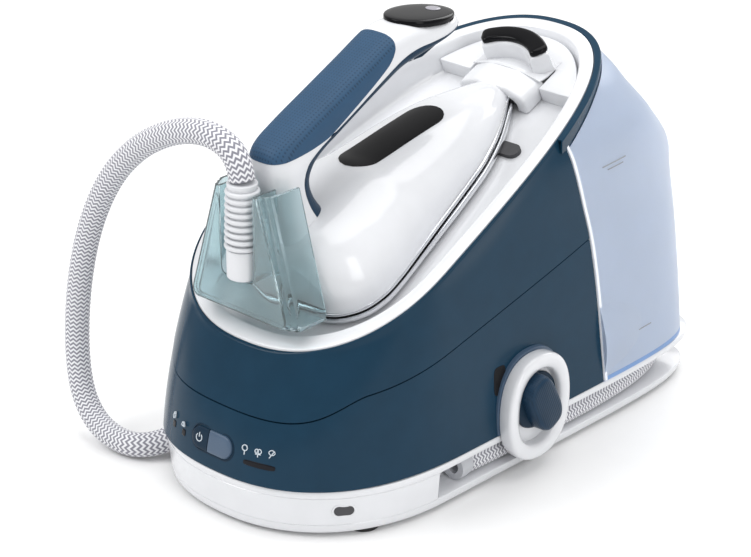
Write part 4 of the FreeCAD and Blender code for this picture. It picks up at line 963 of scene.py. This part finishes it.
def make_iron_body():
    rows = [sole_ring(inset, n) for inset, n in ((6, 0), (1.8, 0), (0.7, 0.5), (0.1, 1.6), (0, 2.6),
                                                  (0, 4.2), (0.4, 4.9), (2.2, 5.1))]
    piece("sole_plate", *grid(rows, True, True), "polished_steel", "iron", ["soleplate"], place=IRON)
    rows = [sole_ring(inset, n, 2.6) for inset, n in ((2.2, 5.1), (2.0, 5.2), (2.0, 7.9), (2.4, 8.2))]
    piece("insulating_skirt", *grid(rows, True, True), "black_plastic", "iron", ["heat_shield"],
          place=IRON)
    rows = [sole_ring(inset, n, 1.7) for inset, n in ((2.1, 6.3), (0.9, 6.4), (0.5, 6.9), (0.5, 8.2),
                                                       (0.9, 8.8), (2.1, 9.0))]
    piece("skirt_trim", *grid(rows), "polished_steel", "iron", place=IRON, wall=0.2)
    rows = body_rows(0)
    points, faces = grid(rows, ring=False)
    heel = len(points)
    points.append(Vector((0, 9.6, 25)))
    faces += [(i + 1, i, heel) for i in range(40)] + [(0, 40, heel)]
    piece("iron_body", points, faces, "white_gloss", "iron", ["iron_shell"], place=IRON, wall=1.6,
          crease=55)
    points, faces = grid(body_rows(0.45), ring=False)
    keep = []
    for p in points:
        to_spine = math.hypot(p.x, p.y - min(169, max(108, p.y)))
        keep.append(min(15.0 - to_spine, (p.z - 20) * 0.5))
    points, faces = trimmed(points, faces, keep)
    piece("body_window_glass", points, faces, "black_gloss", "iron", ["body_window"], place=IRON, wall=0.9,
          crease=60)


# ---------------------------------------------------------------- iron: handle

# upper edge (along, rise), lower edge (along, rise), half width
HANDLE = [((15, 40), (60, 44), 17.0), ((18, 66), (53, 66), 17.0), ((22, 90), (53.5, 82), 17.4),
          ((28, 107), (62, 90.5), 18.0), ((38, 117.5), (75, 93.2), 18.2), ((60, 120.4), (92, 94.2), 18.2),
          ((95, 121.6), (112, 95.4), 18.0), ((130, 122.6), (135, 96.6), 18.0),
          ((156, 123.2), (154, 97.2), 18.6), ((171, 120.4), (169, 95.2), 19.8),
          ((184, 113.6), (184, 92.6), 20.6), ((197, 106.8), (198, 90.4), 20.6),
          ((209, 100.4), (209, 88.8), 17.8), ((217, 95.8), (217, 88.4), 12.0),
          ((221, 93.2), (221, 89.4), 5.0)]
HANDLE_STEPS = 7


def along_handle(s):
    """Upper edge, lower edge and half width at a place along the handle."""
    i = min(int(s), len(HANDLE) - 2)
    t = s - i
    rows = [HANDLE[min(max(i + k, 0), len(HANDLE) - 1)] for k in (-1, 0, 1, 2)]

    def blend(values):
        a, b, c, d = values
        return 0.5 * (2 * b + (c - a) * t + (2 * a - 5 * b + 4 * c - d) * t * t
                      + (3 * b - a - 3 * c + d) * t ** 3)

    return (blend([Vector(r[0]) for r in rows]), blend([Vector(r[1]) for r in rows]),
            blend([r[2] for r in rows]))


def handle_net(out):
    """Points on the handle's skin with, for each, its place along and its height share."""
    rows, marks = [], []
    count = (len(HANDLE) - 1) * HANDLE_STEPS
    for step in range(count + 1):
        s = step / HANDLE_STEPS
        upper, lower, half = along_handle(s)
        middle, rise = (upper + lower) / 2, (upper - lower) / 2
        row = []
        for k in range(56):
            turn = 2 * math.pi * k / 56
            c, si = math.cos(turn), math.sin(turn)
            power = 2.9 if si > 0 else 3.6
            across = math.copysign(abs(c) ** (2 / power), c)
            up = math.copysign(abs(si) ** (2 / power), si)
            spot = middle + rise * up * (1 + out / rise.length)
            row.append(Vector(((half + out) * across, spot.x, spot.y)))
            marks.append((s, (up + 1) / 2))
        rows.append(row)
    points, faces = grid(rows)
    return points, faces, marks


GRIP_EDGE = [(0, 1.2), (3.2, 1.15), (3.6, 0.8), (4.2, 0.42), (4.8, 0.3), (6.2, 0.36), (7.4, 0.5),
             (7.9, 0.75), (8.25, 1.2), (20, 1.2)]
LINER_EDGE = [(0, 0.26), (3, 0.3), (4, 0.26), (5.5, 0.24), (7.5, 0.3), (9, 0.36), (11, 0.3), (14, 0.3)]


def make_handle():
    points, faces, marks = handle_net(0)
    grip = [share - through(GRIP_EDGE, s) for s, share in marks]
    liner = [through(LINER_EDGE, s) - share for s, share in marks]
    shell = [min(-g, -l) for g, l in zip(grip, liner)]
    part, part_faces = trimmed(points, faces, shell)
    piece("handle_sides", part, part_faces, "white_gloss", "iron", ["handle_shell"], place=IRON, wall=2.0,
          crease=50)
    points, faces, marks = handle_net(0.35)
    part, part_faces = trimmed(points, faces, grip)
    piece("handle_grip", part, part_faces, "navy_soft", "iron", ["grip_pad"], place=IRON, wall=2.4,
          crease=60)
    points, faces, marks = handle_net(0.25)
    part, part_faces = trimmed(points, faces, liner)
    piece("handle_underside", part, part_faces, "navy_satin", "iron", ["handle_liner"], place=IRON, wall=2.0,
          crease=60, slot="navy_matte")
    seat = IRON @ Matrix.Translation((0, 196.6, 109.8)) @ Matrix.Rotation(math.radians(-28.3), 4, "X")
    rows = []
    for scale, level in ((0.9, -4.6), (0.985, -4.4), (1.0, -3.8), (1.0, -0.9), (0.985, -0.35),
                         (0.95, -0.05),
                         (0.8, 0.25), (0.5, 0.45), (0.2, 0.5)):
        rows.append([Vector((21 * scale * math.cos(t), 27.5 * scale * math.sin(t), level))
                     for t in TURNS[::4]])
    piece("cap_plate", *grid(rows, True, True), "black_gloss", "iron", ["handle_cap"], place=seat,
          crease=40)
    rows = []
    for radius, level in ((5.2, -0.2), (5.2, 0.75), (4.7, 1.0), (2.5, 1.1)):
        rows.append([Vector((radius * math.cos(t), 14 + radius * math.sin(t), level)) for t in TURNS[::8]])
    piece("cap_lens_disc", *grid(rows, True, True), "lens_grey", "iron", ["cap_lens"], place=seat)


make_iron_body()
make_handle()

# ---------------------------------------------------------------- heel stand and hose sleeve


def rounded(corners, reach):
    """An open run of straight lines whose inner corners are rounded off."""
    corners = [Vector(c) for c in corners]
    line = [corners[0]]
    for before, here, after in zip(corners, corners[1:], corners[2:]):
        a, c = here + (before - here).normalized() * reach, here + (after - here).normalized() * reach
        line += [(1 - t) ** 2 * a + 2 * t * (1 - t) * here + t * t * c for t in (k / 8 for k in range(9))]
    return line + [corners[-1]]


def arch(inner, outer, section, lift):
    """A bar between two runs; each section point is (share across, shift outward, depth)."""
    rows = []
    for i, o in zip(inner, outer):
        outward = (o - i).normalized()
        rows.append([lift(i + (o - i) * share + outward * shift, depth) for share, shift, depth in section])
    points, faces = grid(rows)
    count = len(section)
    return points, faces + [tuple(range(count)), tuple(range(len(points) - 1, len(points) - count - 1, -1))]


def make_stand():
    outer = rounded([(-25.5, 227), (-50.5, 137.5), (50.5, 137.5), (25.5, 227)], 9)
    inner = rounded([(-15.2, 227), (-15.2, 166), (15.2, 166), (15.2, 227)], 6)
    section = [(1, -0.2, -147), (1, 0, -148), (1, 0, -168.6), (1, -0.5, -170.6), (1, -1.4, -171.4),
               (1, -2.2, -171.8), (1, -2.6, -174.2), (1, -3.2, -175.2), (1, -4.2, -175.7),
               (1, -4.8, -176.2),
               (1, -5.1, -178.4), (1, -5.8, -179.6), (1, -7.2, -180.6), (0, 1.4, -180.6), (0, 0.3, -180.2),
               (0, 0, -179.2), (0, 0, -160), (0, 1.6, -160), (0, 1.8, -178.6), (1, -7.4, -178.6),
               (1, -6.6, -177.0), (1, -4.4, -173.6), (1, -2.2, -169), (1, -2.2, -148), (1, -2.0, -147)]
    points, faces = arch(inner, outer, section, lambda p, depth: Vector((p.x, depth, p.y)))
    piece("heel_stand_shell", points, faces, "teal_clear", "iron", ["heel_stand"], crease=30)


def arc(radius, half_turn, middle=240.0, count=36):
    turns = [math.radians(half_turn * (2 * k / count - 1)) for k in range(count + 1)]
    return [Vector((radius * math.sin(t), middle + radius * math.cos(t))) for t in turns]


def make_lock():
    slab = [(0, 0.3, 8.6), (0, -0.9, 9.6), (0, 0.2, 11.0), (0, 0.6, 13), (0, 1.0, 23.4), (0, 1.6, 24.6),
            (0, 2.8, 25.3), (1, -2.8, 25.3), (1, -1.6, 24.6), (1, -1.0, 23.4), (1, -0.4, 13), (1, 0.2, 11),
            (1, 1.2, 9.6), (1, 0.3, 8.6)]
    points, faces = arch(arc(28, 50), arc(44, 46), slab, lambda p, depth: Vector((p.x, p.y, depth)))
    piece("lock_mound", points, faces, "white_gloss", "lock", ["lock_carriage"], place=IRON, bevel=1.2,
          crease=40)
    inner, outer = arc(30, 50), arc(43.6, 46)
    rows = []
    for k in range(37):
        end = abs(k / 18 - 1)
        squeeze = math.sqrt(max(0.0, 1 - max(0.0, (end - 0.86) / 0.14) ** 2)) * 0.96 + 0.04
        middle, half = (inner[k] + outer[k]) / 2, (outer[k] - inner[k]) / 2 * squeeze
        row = []
        for t in (2 * math.pi * j / 28 for j in range(28)):
            c, si = math.cos(t), math.sin(t)
            spot = middle + half * math.copysign(abs(c) ** 0.6, c)
            row.append(Vector((spot.x, spot.y, 27.2 + 2.6 * math.copysign(abs(si) ** 0.6, si) * squeeze)))
        rows.append(row)
    piece("lock_grip", *grid(rows, True, True), "black_gloss", "lock", ["lock_pad"], place=IRON,
          crease=50)
    outer = rounded([(-31, -2.2), (-31, 9.5), (-13, 16.8), (13, 16.8), (31, 9.5), (31, -2.2)], 5.5)
    inner = rounded([(-22.5, -2.2), (-22.5, 4.5), (-10.5, 11.6), (10.5, 11.6), (22.5, 4.5),
                     (22.5, -2.2)], 3.2)
    block = [(0, 0.2, 234.6), (0, 0, 235.6), (0, 0, 257), (1, 0, 257), (1, 0, 236.4), (1, -0.5, 235),
             (1, -1.6, 234.2), (0, 1.2, 234.2)]
    points, faces = arch(inner, outer, block, lambda p, depth: Vector((p.x, depth, p.y)))
    piece("lock_hood", points, faces, "white_gloss", "lock", place=IRON, crease=40)
    rows = []
    for u, sink in ((254, 0.6), (256, 0.1), (259, -0.8), (264, -3.4), (269, -5.6), (274, -7.0),
                    (279, -7.6)):
        row = []
        for x in (-31 + 62 * k / 30 for k in range(31)):
            rise = 7.2 * math.cos(x / 31 * 1.35)
            row.append(Vector((x, u, 9.7 + rise + max(sink, -rise))))
        rows.append(row)
    piece("lock_bridge", *grid(rows, ring=False), "white_gloss", "lock", place=IRON, wall=1.2, crease=60)


def rib_tree():
    """Rings along a line that taper from one radius to another, for the sleeve's slots."""
    tree = bpy.data.node_groups.new("sleeve_ribs", "GeometryNodeTree")
    tree.interface.new_socket("Geometry", in_out="OUTPUT", socket_type="NodeSocketGeometry")
    for name, value in (("Count", 8), ("Start radius", 0.0113), ("End radius", 0.0101), ("Length", 0.042),
                        ("Rib thickness", 0.0018), ("Start height", 0.1885)):
        kind = "NodeSocketInt" if name == "Count" else "NodeSocketFloat"
        socket = tree.interface.new_socket(name, in_out="INPUT", socket_type=kind)
        socket.default_value = value
    nodes, links = tree.nodes, tree.links
    given = nodes.new("NodeGroupInput")
    out = nodes.new("NodeGroupOutput")
    line = nodes.new("GeometryNodeMeshLine")
    step = nodes.new("ShaderNodeMath")
    step.operation = "DIVIDE"
    links.new(given.outputs["Length"], step.inputs[0])
    links.new(given.outputs["Count"], step.inputs[1])
    offset_node = nodes.new("ShaderNodeCombineXYZ")
    links.new(step.outputs[0], offset_node.inputs["Z"])
    start_node = nodes.new("ShaderNodeCombineXYZ")
    start_node.inputs["Y"].default_value = -0.174
    links.new(given.outputs["Start height"], start_node.inputs["Z"])
    links.new(given.outputs["Count"], line.inputs["Count"])
    links.new(start_node.outputs[0], line.inputs["Start Location"])
    links.new(offset_node.outputs[0], line.inputs["Offset"])
    circle = nodes.new("GeometryNodeCurvePrimitiveCircle")
    circle.inputs["Resolution"].default_value = 40
    links.new(given.outputs["Start radius"], circle.inputs["Radius"])
    section = nodes.new("GeometryNodeCurvePrimitiveCircle")
    section.inputs["Resolution"].default_value = 10
    links.new(given.outputs["Rib thickness"], section.inputs["Radius"])
    tube = nodes.new("GeometryNodeCurveToMesh")
    links.new(circle.outputs["Curve"], tube.inputs["Curve"])
    links.new(section.outputs["Curve"], tube.inputs["Profile Curve"])
    place = nodes.new("GeometryNodeInstanceOnPoints")
    links.new(line.outputs["Mesh"], place.inputs["Points"])
    links.new(tube.outputs["Mesh"], place.inputs["Instance"])
    index = nodes.new("GeometryNodeInputIndex")
    taper = nodes.new("ShaderNodeMapRange")
    links.new(index.outputs[0], taper.inputs["Value"])
    links.new(given.outputs["Count"], taper.inputs["From Max"])
    taper.inputs["To Min"].default_value = 1.0
    ratio = nodes.new("ShaderNodeMath")
    ratio.operation = "DIVIDE"
    links.new(given.outputs["End radius"], ratio.inputs[0])
    links.new(given.outputs["Start radius"], ratio.inputs[1])
    links.new(ratio.outputs[0], taper.inputs["To Max"])
    scale = nodes.new("ShaderNodeCombineXYZ")
    links.new(taper.outputs["Result"], scale.inputs["X"])
    links.new(taper.outputs["Result"], scale.inputs["Y"])
    scale.inputs["Z"].default_value = 1.0
    links.new(scale.outputs[0], place.inputs["Scale"])
    real = nodes.new("GeometryNodeRealizeInstances")
    links.new(place.outputs["Instances"], real.inputs["Geometry"])
    paint = nodes.new("GeometryNodeSetMaterial")
    paint.inputs["Material"].default_value = FINISH["white_matte"]
    links.new(real.outputs["Geometry"], paint.inputs["Geometry"])
    links.new(paint.outputs["Geometry"], out.inputs["Geometry"])
    return tree


def make_sleeve():
    rows = []
    for radius, z in ((9.2, 166), (10.9, 166), (11.5, 166.8), (11.5, 184.5), (11.2, 186), (9.6, 186.4),
                      (9.4, 229.0), (10.2, 229.3), (10.3, 231.4), (9.9, 232)):
        rows.append([Vector((radius * math.cos(t), -174 + radius * math.sin(t), z)) for t in TURNS[::8]])
    piece("sleeve_core", *grid(rows, True, True), "white_matte", "iron", ["hose_sleeve"])
    holder = bpy.data.objects.new("sleeve_ribs", bpy.data.meshes.new("sleeve_ribs"))
    bpy.context.scene.collection.objects.link(holder)
    tree = rib_tree()
    modifier = holder.modifiers.new("ribs", "NODES")
    modifier.node_group = tree
    wanted = {"Count": 9, "Rib thickness": 0.0016}
    for socket in tree.interface.items_tree:
        if socket.item_type == "SOCKET" and socket.in_out == "INPUT" and socket.name in wanted:
            modifier[socket.identifier] = wanted[socket.name]
    ready = holder.evaluated_get(bpy.context.evaluated_depsgraph_get())
    mesh = bpy.data.meshes.new_from_object(ready)
    holder.modifiers.clear()
    holder.data = mesh
    mesh.polygons.foreach_set("use_smooth", [True] * len(mesh.polygons))
    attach(holder, "iron")


make_stand()
make_lock()
make_sleeve()

# ---------------------------------------------------------------- floor and finish

floor_mesh = bpy.data.meshes.new("floor")
floor_mesh.from_pydata([(-6, -6, 0), (6, -6, 0), (6, 6, 0), (-6, 6, 0)], [], [(0, 1, 2, 3)])
floor = bpy.data.objects.new("floor", floor_mesh)
floor_mesh.materials.append(new_finish("floor_pale", (0.88, 0.88, 0.88), 0.6, wear=0.005))
bpy.context.scene.collection.objects.link(floor)
